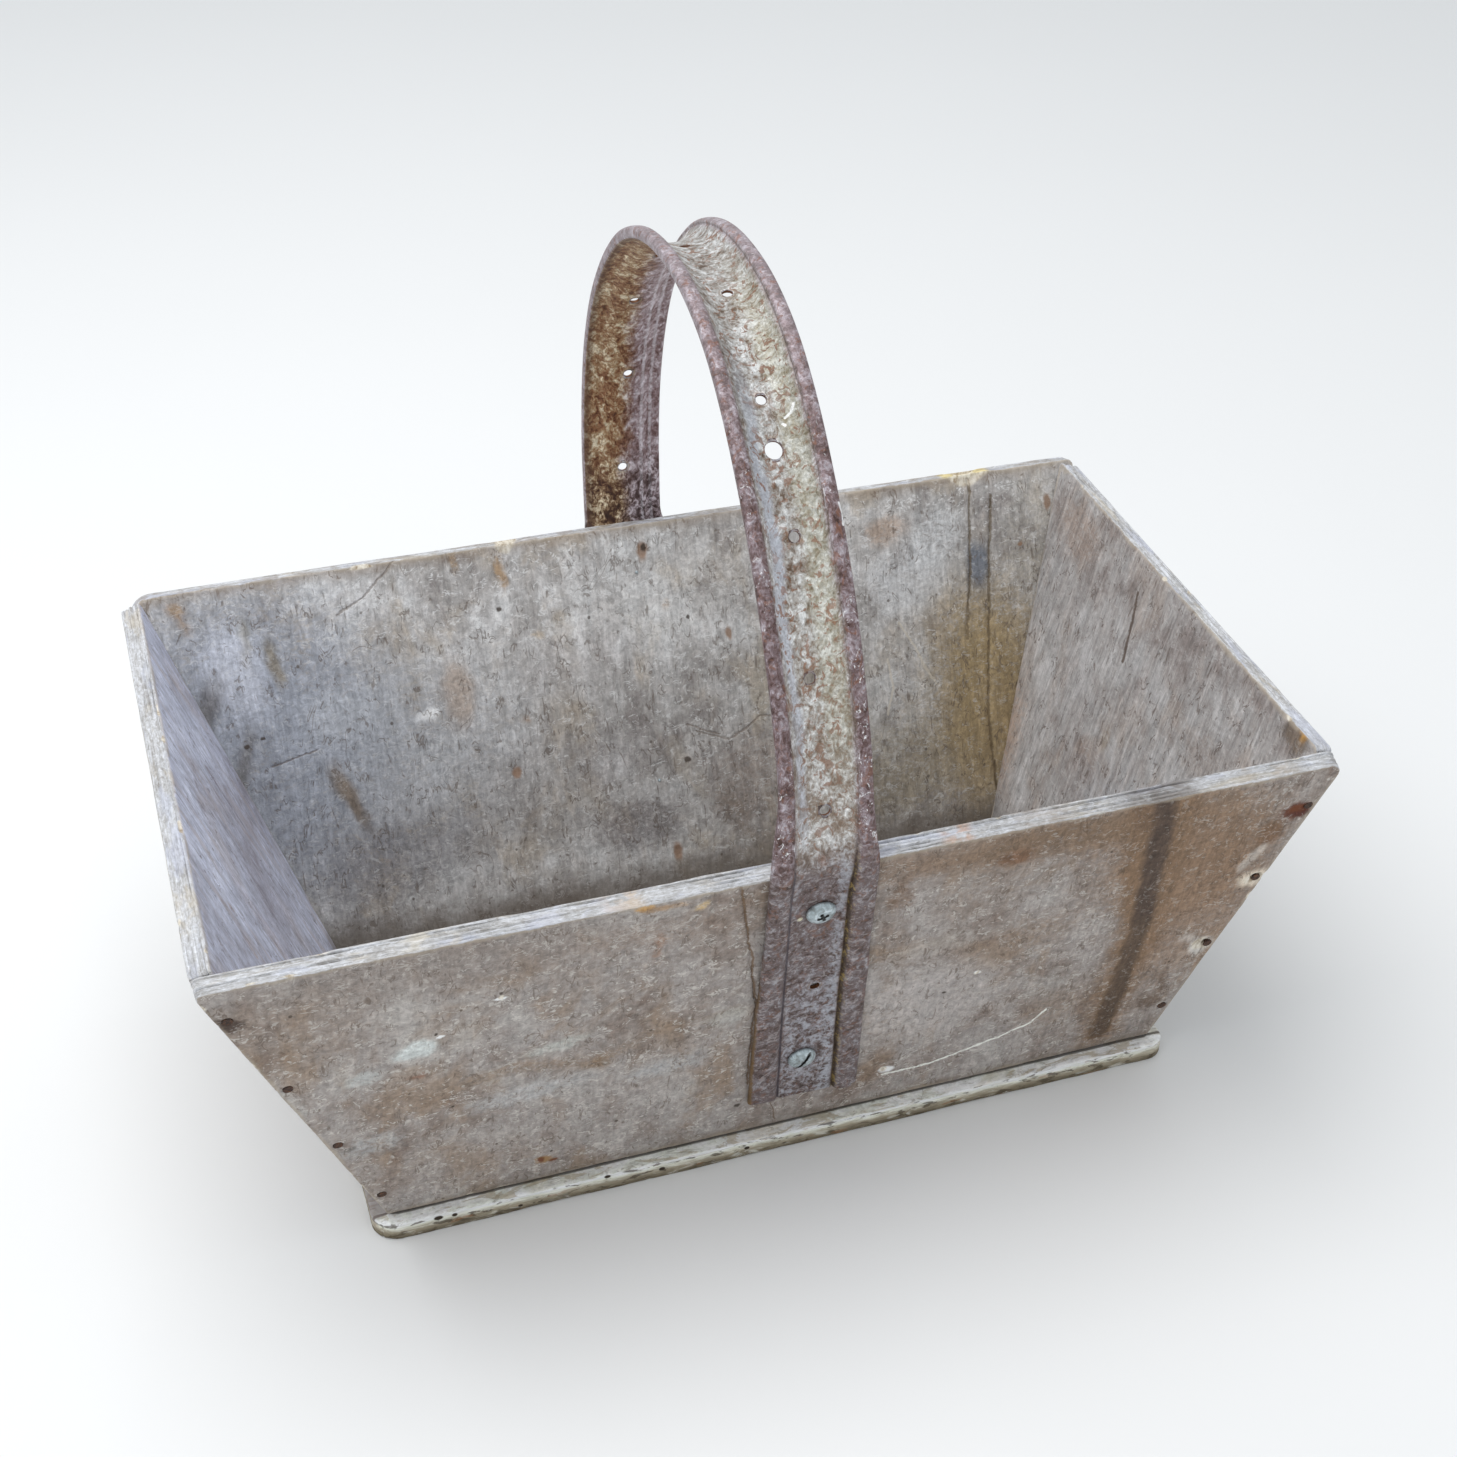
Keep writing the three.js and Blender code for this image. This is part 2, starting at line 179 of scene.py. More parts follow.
def rod(p, d, length, r, seg=20, wobble=0.0, seed=0, rings=1, taper=1.0):
    """closed cylinder from p along d; wobble makes the outline uneven."""
    d = unit(d)
    a = unit(np.cross(d, v3(1, 0, 0) if abs(d[0]) < 0.9 else v3(0, 1, 0)))
    b = np.cross(d, a)
    vs, fs = [], []
    for k in range(rings + 1):
        t = k / rings
        for i in range(seg):
            w = 2 * math.pi * i / seg
            rr = r * (1 + (taper - 1) * t) * (1 + wobble * float(vnoise(math.cos(w) * 1.7 + seed, math.sin(w) * 1.7, seed * 3.1 + t, 5)))
            vs.append(p + d * length * t + a * rr * math.cos(w) + b * rr * math.sin(w))
    for k in range(rings):
        for i in range(seg):
            j = (i + 1) % seg
            fs.append([k * seg + i, k * seg + j, (k + 1) * seg + j, (k + 1) * seg + i])
    fs.append(list(range(seg))[::-1])
    fs.append([rings * seg + i for i in range(seg)])
    return np.array(vs), fs


# ------------------------------------------------------------------ boards
EDGE_STEPS = (0.0, 0.35, 0.8, 1.4, 2.2, 3.3, 4.8)


def spaced(length, step, zones=()):
    """grid lines from 0 to length: fine near both ends, step in the middle, and finer inside each zone (from, to, step)."""
    last = EDGE_STEPS[-1]
    out = list(EDGE_STEPS) + [length - f for f in EDGE_STEPS]
    for z0, z1, zs in zones:
        z0, z1 = max(z0, last + 0.3), min(z1, length - last - 0.3)
        if z1 > z0:
            n = max(1, int(round((z1 - z0) / zs)))
            out += [z0 + (z1 - z0) * i / n for i in range(n + 1)]
    n = max(1, int(round((length - 2 * last) / step)))
    coarse = [last + (length - 2 * last) * i / n for i in range(1, n)]
    out += [c for c in coarse if not any(z0 - 0.5 < c < z1 + 0.5 for z0, z1, zs in zones)]
    out = sorted(out)
    keep = [out[0]]
    for o in out[1:]:
        if o - keep[-1] > 0.28:
            keep.append(o)
    keep[-1] = length
    return np.array(keep)


PLIES = np.array([0.0, 1.6, 3.6, 5.4, 7.4, 9.0])
WS = np.array([0, 0.3, 0.75, 1.2, 1.6, 2.1, 2.9, 3.6, 4.2, 4.8, 5.4, 6.1, 6.9, 7.4, 7.8, 8.25, 8.7, 9.0])


def seg_dist(u, v, pts):
    d = np.full(np.shape(u), 1e9)
    for (x0, y0), (x1, y1) in zip(pts[:-1], pts[1:]):
        L2 = (x1 - x0) ** 2 + (y1 - y0) ** 2
        t = np.clip(((u - x0) * (x1 - x0) + (v - y0) * (y1 - y0)) / L2, 0, 1)
        d = np.minimum(d, np.hypot(u - x0 - t * (x1 - x0), v - y0 - t * (y1 - y0)))
    return d


def painted(pu, pv, c, Lw, stains, ks, seed):
    """Broad stains as a colour and an amount at each vertex: (kind, place, reach, display colour, amount), kind spot with reach
    (radius, radius, turn), or line with reach (width of the core, width of the fade)."""
    N = len(pu)
    tint, amt = np.zeros((N, 3)), np.zeros(N)
    if not (len(stains[0]) or len(stains[1])):
        return tint, amt
    ju = pu + 3.0 * fbm(pu, pv, 0, 9.0, 3, seed + 101) + 1.0 * fbm(pu, pv, 0, 3.5, 2, seed + 103)
    jv = pv + 3.0 * fbm(pu, pv, 50, 9.0, 3, seed + 102) + 1.0 * fbm(pu, pv, 50, 3.5, 2, seed + 104)
    for side, rows, k in ((1, stains[0], ks[0]), (-1, stains[1], ks[1])):
        sel = (c > Lw / 2) if side > 0 else (c <= Lw / 2)
        for kind, place, reach, tone, amount in rows:
            if kind == "spot":
                du, dv = ju - place[0], jv - place[1]
                if len(reach) > 2 and reach[2]:
                    cs, sn = math.cos(reach[2]), math.sin(reach[2])
                    du, dv = du * cs + dv * sn, -du * sn + dv * cs
                m = smooth(1.25, 0.35, np.hypot(du / reach[0], dv / reach[1]))
            else:
                m = smooth(reach[1], reach[0], seg_dist(ju if reach[1] > 9 else pu + (ju - pu) * 0.5, jv, place))
            m = np.where(sel, m * amount, 0)
            lc = np.array([min(lin(x) / k, 0.92) for x in tone])
            tint = tint * (1 - m[:, None]) + lc[None] * m[:, None]
            amt = 1 - (1 - amt) * (1 - m)
    return tint / np.maximum(amt, 1e-4)[:, None], amt


def lin(c):
    c = c / 255.0
    return c / 12.92 if c <= 0.04045 else ((c + 0.055) / 1.055) ** 2.4


def board(name, corner, size, seed, along, up, foot, normal, round_r=0.9, step=2.2, zones_u=(), zones_v=(), bites=(), craters=(),
          cracks=(), warp=0.35, sharp=42, edge_wear=1.0, stains=((), ()), ks=(1.0, 1.0), round_corners=(), lowest=None):
    """corner(u, v, w) gives the layout position of the board's corner, u and v along the face, w through the thickness (0 inside face,
    1 outside face), each 0 or 1. size is (length, height, thickness) in mm. along, up and foot give the face's own plane coordinates.
    bites (u, v, radius, depth) take the outline in, craters (u, v, radius, depth, side, ragged) go into a face, cracks are
    (points, half width, depth, side); all of them in plane coordinates in mm."""
    Lu, Lv, Lw = size
    us, vs = spaced(Lu, step, zones_u), spaced(Lv, step, zones_v)
    ws = WS * Lw / 9.0
    nu, nv, nw = len(us), len(vs), len(ws)
    idx = -np.ones((nu, nv, nw), int)
    I, J, K = np.meshgrid(range(nu), range(nv), range(nw), indexing="ij")
    surf = (I == 0) | (I == nu - 1) | (J == 0) | (J == nv - 1) | (K == 0) | (K == nw - 1)
    idx[surf] = np.arange(surf.sum())
    i, j, k = I[surf], J[surf], K[surf]
    a, b, c = us[i], vs[j], ws[k]
    faces = []

    def quads(g, flip):
        q = np.stack([g[:-1, :-1], g[1:, :-1], g[1:, 1:], g[:-1, 1:]], -1).reshape(-1, 4)
        faces.append(q[:, ::-1] if flip else q)
    quads(idx[:, :, 0], True); quads(idx[:, :, -1], False)
    quads(idx[:, 0, :], False); quads(idx[:, -1, :], True)
    quads(idx[0, :, :], True); quads(idx[-1, :, :], False)
    on_top, on_bot, on_l, on_r = (j == nv - 1), (j == 0), (i == 0), (i == nu - 1)
    edge_face = (on_top | on_bot | on_l | on_r)
    da, db, dc = np.minimum(a, Lu - a), np.minimum(b, Lv - b), np.minimum(c, Lw - c)
    de = np.minimum(da, db)
    # uneven rounding of every edge
    rn = fbm(a, b, c * 2, 14.0, 3, seed)
    rl = fbm(a, b, c, 70.0, 2, seed + 5)
    r = round_r * (1.0 + 0.75 * rn + 0.5 * rl)
    near_top = smooth(14, 0, Lv - b)
    r = np.clip(r * (1 + 0.35 * near_top), 0.25, min(2.6, Lw * 0.3))
    P = np.stack([a, b, c], -1)
    L = np.array([Lu, Lv, Lw])
    shrink = np.zeros((len(a), 2))
    for ru_, rv_, rr in round_corners:     # worn corners of the outline: which end, bottom or top, radius
        cu, cv = (Lu - rr if ru_ else rr), (Lv - rr if rv_ else rr)
        du, dv = (a - cu) * (1 if ru_ else -1), (b - cv) * (1 if rv_ else -1)
        in_ = (du > 0) & (dv > 0)
        big_ = np.maximum(du, dv)
        k_ = np.where(in_, big_ / np.maximum(np.hypot(du, dv), 1e-9), 1.0)
        shrink[:, 0] += np.where(in_, (1 if ru_ else -1) * du * (k_ - 1), 0)
        shrink[:, 1] += np.where(in_, (1 if rv_ else -1) * dv * (k_ - 1), 0)
    inner = np.clip(P, r[:, None], L - r[:, None])
    d = P - inner
    m = np.linalg.norm(d, axis=1)
    s = np.where(m > r, r / np.maximum(m, 1e-9), 1.0)
    Q = inner + d * s[:, None]
    # sawn edges weather ply by ply: the cross plies crumble, the glue lines open here and there
    depth = np.zeros(len(a))
    E = np.flatnonzero(edge_face)
    ce_, run = c[E], np.where(on_l | on_r, b, a)[E]
    ply = np.clip(np.searchsorted(PLIES * Lw / 9.0, ce_, side="right") - 1, 0, 4)
    for n in range(5):
        cross = n in (1, 3)
        s_ = ply == n
        e = fbm(run[s_], n * 31.0, 0, 6.0 if cross else 22.0, 4, seed + 40 + n)
        lo = fbm(run[s_], n * 13.0, 9.0, 60.0, 2, seed + 60 + n)
        depth[E[s_]] = np.clip((0.42 if cross else 0.16) + (0.42 if cross else 0.22) * e + 0.22 * lo, 0, 1.3)
    dist = np.min(np.abs(ce_[:, None] - PLIES[None, 1:-1] * Lw / 9.0), axis=1)
    gapn = np.clip(fbm(run, ce_, 3.0, 26.0, 2, seed + 80), 0, 1)
    depth[E] += np.where(dist < 0.12, 0.15 + 1.1 * gapn, 0)
    depth *= edge_wear
    inward = np.zeros_like(P)
    inward[:, 1] += np.where(on_top, -1, 0) + np.where(on_bot, 1, 0)
    inward[:, 0] += np.where(on_l, 1, 0) + np.where(on_r, -1, 0)
    Q = Q + inward * (depth * smooth(0.0, 0.8, dc) * np.where(on_bot, 0.4, 1.0))[:, None]
    Q[:, :2] += shrink
    # to the layout frame: trilinear between the eight corners
    C = np.array([[[corner(x, y, z) for z in (0, 1)] for y in (0, 1)] for x in (0, 1)])

    def to_layout(Q):
        t = Q / L
        X = np.zeros((len(Q), 3))
        for x in (0, 1):
            for y in (0, 1):
                for z in (0, 1):
                    w = (t[:, 0] if x else 1 - t[:, 0]) * (t[:, 1] if y else 1 - t[:, 1]) * (t[:, 2] if z else 1 - t[:, 2])
                    X += w[:, None] * C[x, y, z]
        return X
    X0 = to_layout(P)
    pu, pv = X0 @ along, (X0 - foot) @ up
    wear = np.zeros(len(a))
    side = np.where(c > Lw / 2, 1.0, -1.0)
    # splinters along the outer edges
    bite = np.zeros(len(a))
    E = np.flatnonzero((de < 3.3) & (dc < 2.7))
    bite[E] = np.clip(fbm(a[E], b[E], c[E], 7.0, 3, seed + 90) + 0.6 * fbm(a[E], b[E], c[E], 36.0, 2, seed + 91) - 0.42, 0, 1) * smooth(3.2, 0.0, de[E]) * smooth(2.6, 0.0, dc[E])
    lift = -side * bite * 2.2 * (0.5 + 0.5 * near_top)
    wear = np.maximum(wear, np.clip(bite * 4, 0, 1))
    for (cu, cv, cr, cd) in bites:
        E = np.flatnonzero(np.hypot(pu - cu, pv - cv) < cr * 1.6)
        f_ = np.zeros(len(a))
        f_[E] = smooth(1.0, 0.2, np.hypot(pu[E] - cu, pv[E] - cv) / cr + fbm(a[E], b[E], c[E], 5.0, 3, seed + 93) * 0.35)
        Q = Q + inward * (f_ * cd)[:, None]
        lift = lift - side * f_ * cd * 0.35 * smooth(2.5, 0, dc)
        wear = np.maximum(wear, f_)
    for n, (cu, cv, cr, cd, cs, ragged) in enumerate(craters):
        E = np.flatnonzero(np.hypot(pu - cu, pv - cv) < cr * 2.2)
        f_ = np.zeros(len(a))
        f_[E] = smooth(1.0, 0.55 if ragged < 0.2 else 0.3, np.hypot(pu[E] - cu, pv[E] - cv) / cr + fbm(pu[E], pv[E], n * 9.0, cr * 0.7, 3, seed + 94) * ragged)
        sel = smooth(3.5, 0.0, (Lw - c) if cs > 0 else c)
        lift = lift - cs * f_ * cd * sel
        if ragged > 0.2:
            wear = np.maximum(wear, f_ * sel)
    for n, (pts, hw, cd, cs) in enumerate(cracks):
        wob = fbm(pu, pv, n * 5.0, 9.0, 3, seed + 95) * 1.1
        f_ = smooth(hw * 1.6, hw * 0.4, np.abs(seg_dist(pu + wob, pv, pts)))
        lift = lift - cs * f_ * cd * smooth(3.0, 0.0, (Lw - c) if cs > 0 else c)
    # slight warp of the whole board, and the raised grain of its two large faces
    lift = lift + warp * fbm(a, b, 0, 160.0, 2, seed + 7)
    big = (k == 0) | (k == nw - 1)
    fine = 0.11 * fbm(pu * 3.0, pv * 0.5, c, 7.0, 3, seed + 8) + 0.08 * fbm(pu, pv, c, 5.0, 3, seed + 9)
    lift = lift + np.where(big, fine, 0) * smooth(0.5, 3, de)
    X = to_layout(Q) + normal[None] * lift[:, None]
    if lowest is not None:
        X[:, 2] = np.maximum(X[:, 2], lowest)
    q = np.where(edge_face, -dc, de)
    tint, amt = painted(pu, pv, c, Lw, stains, ks, seed)
    attrs = {"bl": np.stack([pu, pv, c], -1) / 1000.0, "q": q, "wear": wear, "tint": tint, "amt": amt}
    ob = new_object(name, X, np.concatenate(faces), sharp, attrs)
    outward(ob)
    return ob


def corners(out, out_n, top, foot_z, side0, side1):
    def f(u, v, w):
        face = (out_n, out) if w else (out_n, out - out_n * T)
        t = (top, out) if v else (v3(0, 0, -1), v3(0, 0, foot_z))
        return meet(face, t, side1 if u else side0)
    return f


FOOT = BASE_T + GAP
cF = corners(eF, nF, tF, FOOT, (nL, eL), (nR, eR))
cB = corners(eB, nB, tB, FOOT, (nL, eL), (nR, eR))
inF = (nF, eF - nF * (T + GAP))
inB = (nB, eB - nB * (T + GAP))
cL = corners(eL, nL, tL, FOOT, inF, inB)
cR = corners(eR, nR, tR, FOOT, inF, inB)
HS = RISE / math.cos(LEAN)                 # slope height of the front and back boards
HL, HR = RISE / math.cos(LEAN_L), RISE / math.cos(LEAN_R)
eX, eY = v3(1, 0, 0), v3(0, 1, 0)


def foot_of(edge, up_dir, lean):
    return edge - up_dir * (RISE / math.cos(lean))


fF, fB = foot_of(eF, tF, LEAN), foot_of(eB, tB, LEAN)
fL, fR = foot_of(eL, tL, LEAN_L), foot_of(eR, tR, LEAN_R)

# broad stains, read off the photograph: (kind, place, reach, display colour, amount) in plane coordinates
K_FRONT, K_BACK, K_LEFT, K_RIGHT = 0.78, 0.60, 0.58, 0.75
FRONT_STAINS = [
    ("spot", (-150, 182), (100, 22, 0), (128, 119, 113), 0.5), ("spot", (70, 184), (70, 16, 0), (130, 113, 99), 0.45),
    ("spot", (175, 150), (60, 60, 0), (125, 103, 84), 0.72), ("spot", (190, 90), (40, 60, 0), (132, 110, 92), 0.6), ("spot", (110, 178), (70, 18, 0), (120, 100, 82), 0.62),
    ("spot", (30, 178), (40, 14, 0), (128, 108, 92), 0.35), ("spot", (80, 150), (30, 24, 0.2), (132, 116, 102), 0.3), ("spot", (100, 108), (34, 20, 0.3), (128, 106, 84), 0.4),
    ("line", ((-139, 92), (-118, 96), (-85, 85)), (1, 10), (128, 108, 88), 0.5), ("line", ((-85, 85), (-63, 100), (-25, 101)), (1, 8), (128, 108, 88), 0.4),
    ("line", ((30, 120), (67, 119), (95, 95)), (1, 12), (126, 104, 82), 0.45), ("spot", (130, 45), (26, 22, 0), (130, 110, 90), 0.35), ("spot", (-200, 150), (40, 34, 0), (132, 116, 102), 0.3),
    ("spot", (-60, 170), (46, 14, 0), (132, 114, 100), 0.35), ("spot", (-150, 30), (60, 18, 0), (132, 116, 102), 0.25), ("spot", (-120, 160), (40, 12, 0), (134, 122, 114), 0.25),
    ("spot", (-160, 124), (10, 7, 0.3), (186, 190, 188), 1.0), ("spot", (-180, 112), (10, 6, 0.1), (174, 176, 174), 0.6), ("spot", (-115, 74), (36, 9, 0.1), (172, 173, 174), 0.45),
    ("spot", (-54, 70), (22, 9, 0.1), (170, 172, 174), 0.45), ("spot", (-102, 105), (16, 5, 0.2), (176, 177, 172), 0.6), ("spot", (-180, 60), (18, 11, 0), (172, 174, 175), 0.45),
    ("spot", (-28, 98), (12, 7, 0), (176, 176, 172), 0.45), ("spot", (66, 119), (30, 9, 0.1), (172, 169, 166), 0.35), ("spot", (60, 76), (46, 40, 0), (164, 158, 155), 0.7),
    ("spot", (120, 70), (14, 20, 0), (166, 162, 158), 0.35), ("spot", (-140, 45), (30, 12, 0), (158, 152, 148), 0.3), ("spot", (20, 95), (20, 16, 0), (160, 155, 152), 0.3),
    ("line", ((154, 196), (159.4, 132), (161.6, 80), (158, 12)), (5, 20), (120, 97, 76), 0.6), ("line", ((153.4, 200), (154, 190), (157.2, 163.3), (159.4, 132.4), (161.7, 100)), (3.6, 7.2), (80, 67, 59), 0.97),
    ("line", ((161.7, 100), (161.5, 67.1), (160.9, 40.7), (158.1, 14)), (3.2, 6.8), (86, 72, 61), 0.93), ("line", ((143, 196), (148, 176)), (2, 8), (104, 84, 68), 0.55),
    ("spot", (-158.6, 104.6), (5.5, 3.2, 0), (124, 90, 72), 0.6), ("spot", (-105.3, 16), (4.6, 3.8, 0), (140, 112, 80), 0.85), ("spot", (-69.9, 189.6), (4.5, 2.6, 0), (190, 150, 96), 0.8), ("spot", (-45.4, 184), (3.6, 3.6, 0), (196, 170, 128), 0.7),
    ("spot", (-62, 187), (12, 3, 0), (160, 128, 92), 0.5), ("spot", (223, 163.5), (8, 7, 0), (84, 50, 44), 0.9), ("spot", (214, 150), (8, 10, 0), (110, 86, 68), 0.6),
    ("spot", (-229, 168), (8, 7, 0), (74, 62, 56), 0.8), ("spot", (90, 172), (9, 6, 0), (112, 80, 60), 0.5), ("spot", (40, 160), (8, 14, 0), (112, 86, 64), 0.5), ("spot", (-63, 160), (3, 13, 0), (140, 98, 68), 0.4),
    ("spot", (215.1, 117), (8.4, 7.6, 0), (208, 196, 180), 0.95), ("spot", (199, 70.5), (7.4, 6.6, 0), (200, 196, 190), 0.9), ("line", ((212, 140), (206, 128)), (1, 4.5), (180, 172, 164), 0.6),
    ("line", ((188, 80), (194, 77), (198, 64)), (1, 4), (186, 182, 178), 0.4), ("spot", (180, 30), (10, 8, 0), (90, 74, 62), 0.6), ("spot", (184, 44), (5, 12, 0.4), (96, 80, 68), 0.5),
    ("line", ((-212, 112), (-205, 96)), (1, 5), (176, 174, 170), 0.5), ("spot", (-190, 62), (4, 3, 0), (80, 70, 60), 0.6)]
BACK_STAINS = [
    ("spot", (-190, 110), (78, 98, 0), (134, 138, 147), 0.72), ("spot", (-120, 90), (60, 70, 0), (130, 132, 136), 0.3), ("spot", (-100, 100), (60, 50, 0), (146, 148, 152), 0.3), ("spot", (190, 60), (60, 95, 0.1), (128, 114, 92), 0.62),
    ("spot", (120, 40), (50, 36, 0), (126, 116, 98), 0.45), ("spot", (182, 76), (30, 70, 0), (140, 122, 90), 0.42), ("spot", (90, 90), (40, 40, 0), (134, 128, 118), 0.35),
    ("spot", (215, 160), (22, 40, 0), (134, 128, 116), 0.35), ("spot", (70, 170), (60, 20, 0), (158, 154, 150), 0.3), ("spot", (133, 168), (14, 10, 0), (140, 122, 108), 0.6),
    ("spot", (160, 160), (22, 20, 0), (178, 180, 182), 0.5), ("spot", (140, 140), (28, 22, 0), (174, 175, 177), 0.5), ("spot", (182, 142), (8, 16, 0.1), (96, 101, 110), 0.8),
    ("spot", (-207, 135), (6, 17, -0.35), (92, 88, 86), 0.7), ("spot", (-197, 102), (5, 24, -0.3), (98, 94, 90), 0.6), ("spot", (-20, 74), (28, 20, 0.2), (112, 107, 108), 0.34),
    ("spot", (-10, 36), (32, 20, 0), (98, 92, 92), 0.55), ("spot", (-150, 78), (5, 22, 0.35), (106, 90, 70), 0.7), ("spot", (-92, 121), (9, 22, 0), (146, 132, 120), 0.6),
    ("spot", (-86, 188), (2.8, 9, 0), (138, 118, 96), 0.6), ("spot", (-65, 178), (3.4, 12, 0), (136, 114, 90), 0.7), ("spot", (-216, 182), (5, 5, 0), (136, 116, 94), 0.7), ("spot", (-188, 162), (3.2, 14, 0), (110, 102, 82), 0.7),
    ("spot", (-175, 150), (3.2, 15, 0.1), (110, 100, 82), 0.7), ("spot", (116, 28), (30, 24, 0), (106, 98, 86), 0.3), ("spot", (-108, 112), (6, 4.5, 0), (198, 202, 206), 0.9),
    ("spot", (-194, 150), (16, 28, 0.2), (174, 176, 184), 0.5), ("spot", (-60, 60), (42, 36, 0.3), (120, 115, 112), 0.34), ("spot", (-130, 40), (52, 28, 0.2), (106, 104, 106), 0.45),
    ("spot", (60, 50), (38, 32, 0), (122, 108, 98), 0.45), ("spot", (20, 150), (52, 24, 0.1), (182, 180, 178), 0.35), ("spot", (-214, 176), (3, 7, 0), (136, 114, 90), 0.5), ("spot", (-50, 143), (5, 3, 0), (168, 152, 128), 0.5),
    ("spot", (15, 148), (3, 3, 0), (126, 112, 100), 0.6), ("spot", (-60, 101), (3.4, 2.4, 0), (138, 112, 88), 0.5), ("spot", (-30, 130), (40, 20, 0), (160, 156, 156), 0.3), ("spot", (100, 130), (20, 24, 0), (160, 156, 152), 0.35),
    ("spot", (60, 100), (14, 30, 0), (150, 142, 130), 0.3), ("spot", (-150, 120), (20, 16, 0), (166, 168, 172), 0.35), ("spot", (-120, 70), (22, 12, 0.3), (158, 158, 160), 0.3), ("spot", (40, 30), (10, 24, 0.4), (96, 84, 74), 0.4)]
LEFT_STAINS = [("spot", (20, 96), (46, 38, 0), (124, 120, 130), 0.4), ("spot", (-65, 138), (3.0, 7, 0), (132, 114, 102), 0.55), ("spot", (-54, 153), (2.6, 5, 0), (120, 96, 80), 0.65), ("spot", (60, 140), (3, 14, 0), (110, 102, 108), 0.6),
               ("spot", (110, 150), (12, 34, 0), (146, 138, 140), 0.4), ("spot", (-20, 120), (9, 50, 0), (140, 130, 134), 0.35), ("spot", (90, 100), (20, 30, 0), (118, 114, 122), 0.35), ("spot", (40, 170), (24, 12, 0), (166, 168, 182), 0.35)]
RIGHT_STAINS = [("spot", (-122, 186), (14, 9, 0), (106, 94, 84), 0.8), ("spot", (-66, 139), (20, 18, 0), (128, 118, 112), 0.5), ("spot", (1, 138), (6, 13, 0), (118, 108, 104), 0.5), ("spot", (98, 170), (32, 20, 0), (136, 120, 110), 0.55),
                ("spot", (104, 40), (26, 48, 0), (164, 142, 126), 0.55), ("spot", (112, 60), (5, 28, 0), (150, 116, 88), 0.6), ("spot", (-128, 190), (3.4, 4.4, 0), (150, 112, 56), 0.85), ("spot", (-20, 60), (50, 44, 0), (160, 160, 164), 0.45),
                ("spot", (78, 150), (8, 22, 0), (120, 114, 112), 0.5), ("spot", (12, 100), (5, 11, 0), (124, 112, 98), 0.5), ("spot", (-100, 120), (20, 30, 0), (138, 130, 124), 0.35), ("spot", (60, 100), (24, 30, 0), (160, 157, 157), 0.35)]


# nail rows: distance down the slope of the front and back boards, as in the CAD
NAILS_L, NAILS_R = (20.5, 75.5, 125.4, 173.0), (26.0, 74.0, 120.6, 167.0)


def nail_spots(edge, n_out, t_up, foot):
    """plane coordinates of the nail heads on a front or back board"""
    out = []
    for rows, (ns_, es_), sx in ((NAILS_L, (nL, eL), 1), (NAILS_R, (nR, eR), -1)):
        for s_ in rows:
            p = edge - t_up * s_
            # slide along x to 4.1 mm inside the end board's outer face
            x = p[0] + (ns_ @ (es_ - p) - 4.1) / ns_[0]
            out.append((x, (p - foot) @ t_up))
    return out


spotsF, spotsB = nail_spots(eF, nF, tF, fF), nail_spots(eB, nB, tB, fB)
nail_zone_v = [(v - 4, v + 4, 0.7) for u, v in spotsF]
ends_u = [(4.8, 14, 0.75), (480 - 14, 480 - 4.8, 0.75)]
f_craters = [(u, v, 2.9, 0.85, 1, 0.05) for u, v in spotsF]
f_craters += [(215.1, 117.0, 6.0, 1.0, 1, 0.5), (199.0, 70.5, 7.5, 1.3, 1, 0.6), (223.0, 163.5, 4.5, 0.8, 1, 0.19),
              (49.7, 25.1, 3.4, 0.9, 1, 0.5), (84.9, 89.7, 2.0, 0.5, 1, 0.3), (-125.9, 148.1, 2.2, 0.4, 1, 0.3)]
front = board("front_panel", cF, (480.0, HS, T), 11, eX, tF, fF, nF,
              zones_u=ends_u + [(455, 476, 0.9), (202, 224, 0.9)], zones_v=nail_zone_v + [(108, 126, 0.9), (62, 80, 0.9)],
              round_corners=[(0, 1, 5.0), (1, 1, 8.0)], craters=f_craters,
              cracks=[([(-31, 190), (-29.5, 184.4), (-23.1, 144.3), (-17.9, 105.8)], 0.6, 0.7, 1)],
              stains=(FRONT_STAINS, ()), ks=(K_FRONT, K_BACK))
b_craters = [(u, v, 2.9, 0.85, 1, 0.05) for u, v in spotsB]
b_craters += [(5.9, 176.9, 3.4, 0.9, -1, 0.19), (7.8, 17.7, 3.4, 0.9, -1, 0.19), (45.5, 128.0, 2.6, 0.5, -1, 0.19), (-65.0, 179.4, 4.0, 0.4, -1, 0.19),
              (-68.5, 75.4, 3.5, 0.4, -1, 0.19), (179.0, 196.0, 15.0, 1.2, -1, 0.4), (-19.4, 196.0, 7.0, 0.9, -1, 0.4)]
back = board("back_panel", cB, (480.0, HS, T), 23, eX, tB, fB, nB,
             zones_u=ends_u + [(408, 438, 0.8), (412, 424, 0.8)], zones_v=nail_zone_v,
             round_corners=[(0, 1, 15.0), (1, 1, 6.0)], bites=[(179, HS + 2, 11.0, 1.5), (-60, HS + 1, 9, 0.8)], craters=b_craters,
             cracks=[([(180.1, 186.0), (180.1, 179.8), (177.5, 140), (173.3, 103.7)], 0.7, 0.8, -1),
                     ([(191.4, 176.0), (187.0, 120.0), (182.2, 61.6), (184.3, 20.0)], 0.8, 0.9, -1)],
             stains=((), BACK_STAINS), ks=(K_FRONT, K_BACK))
left = board("left_end_panel", cL, (281.0, HL, T), 37, eY, tL, fL, nL,
             round_corners=[(1, 1, 5.0), (0, 1, 4.0)],
             stains=((), LEFT_STAINS), ks=(K_FRONT, K_LEFT))
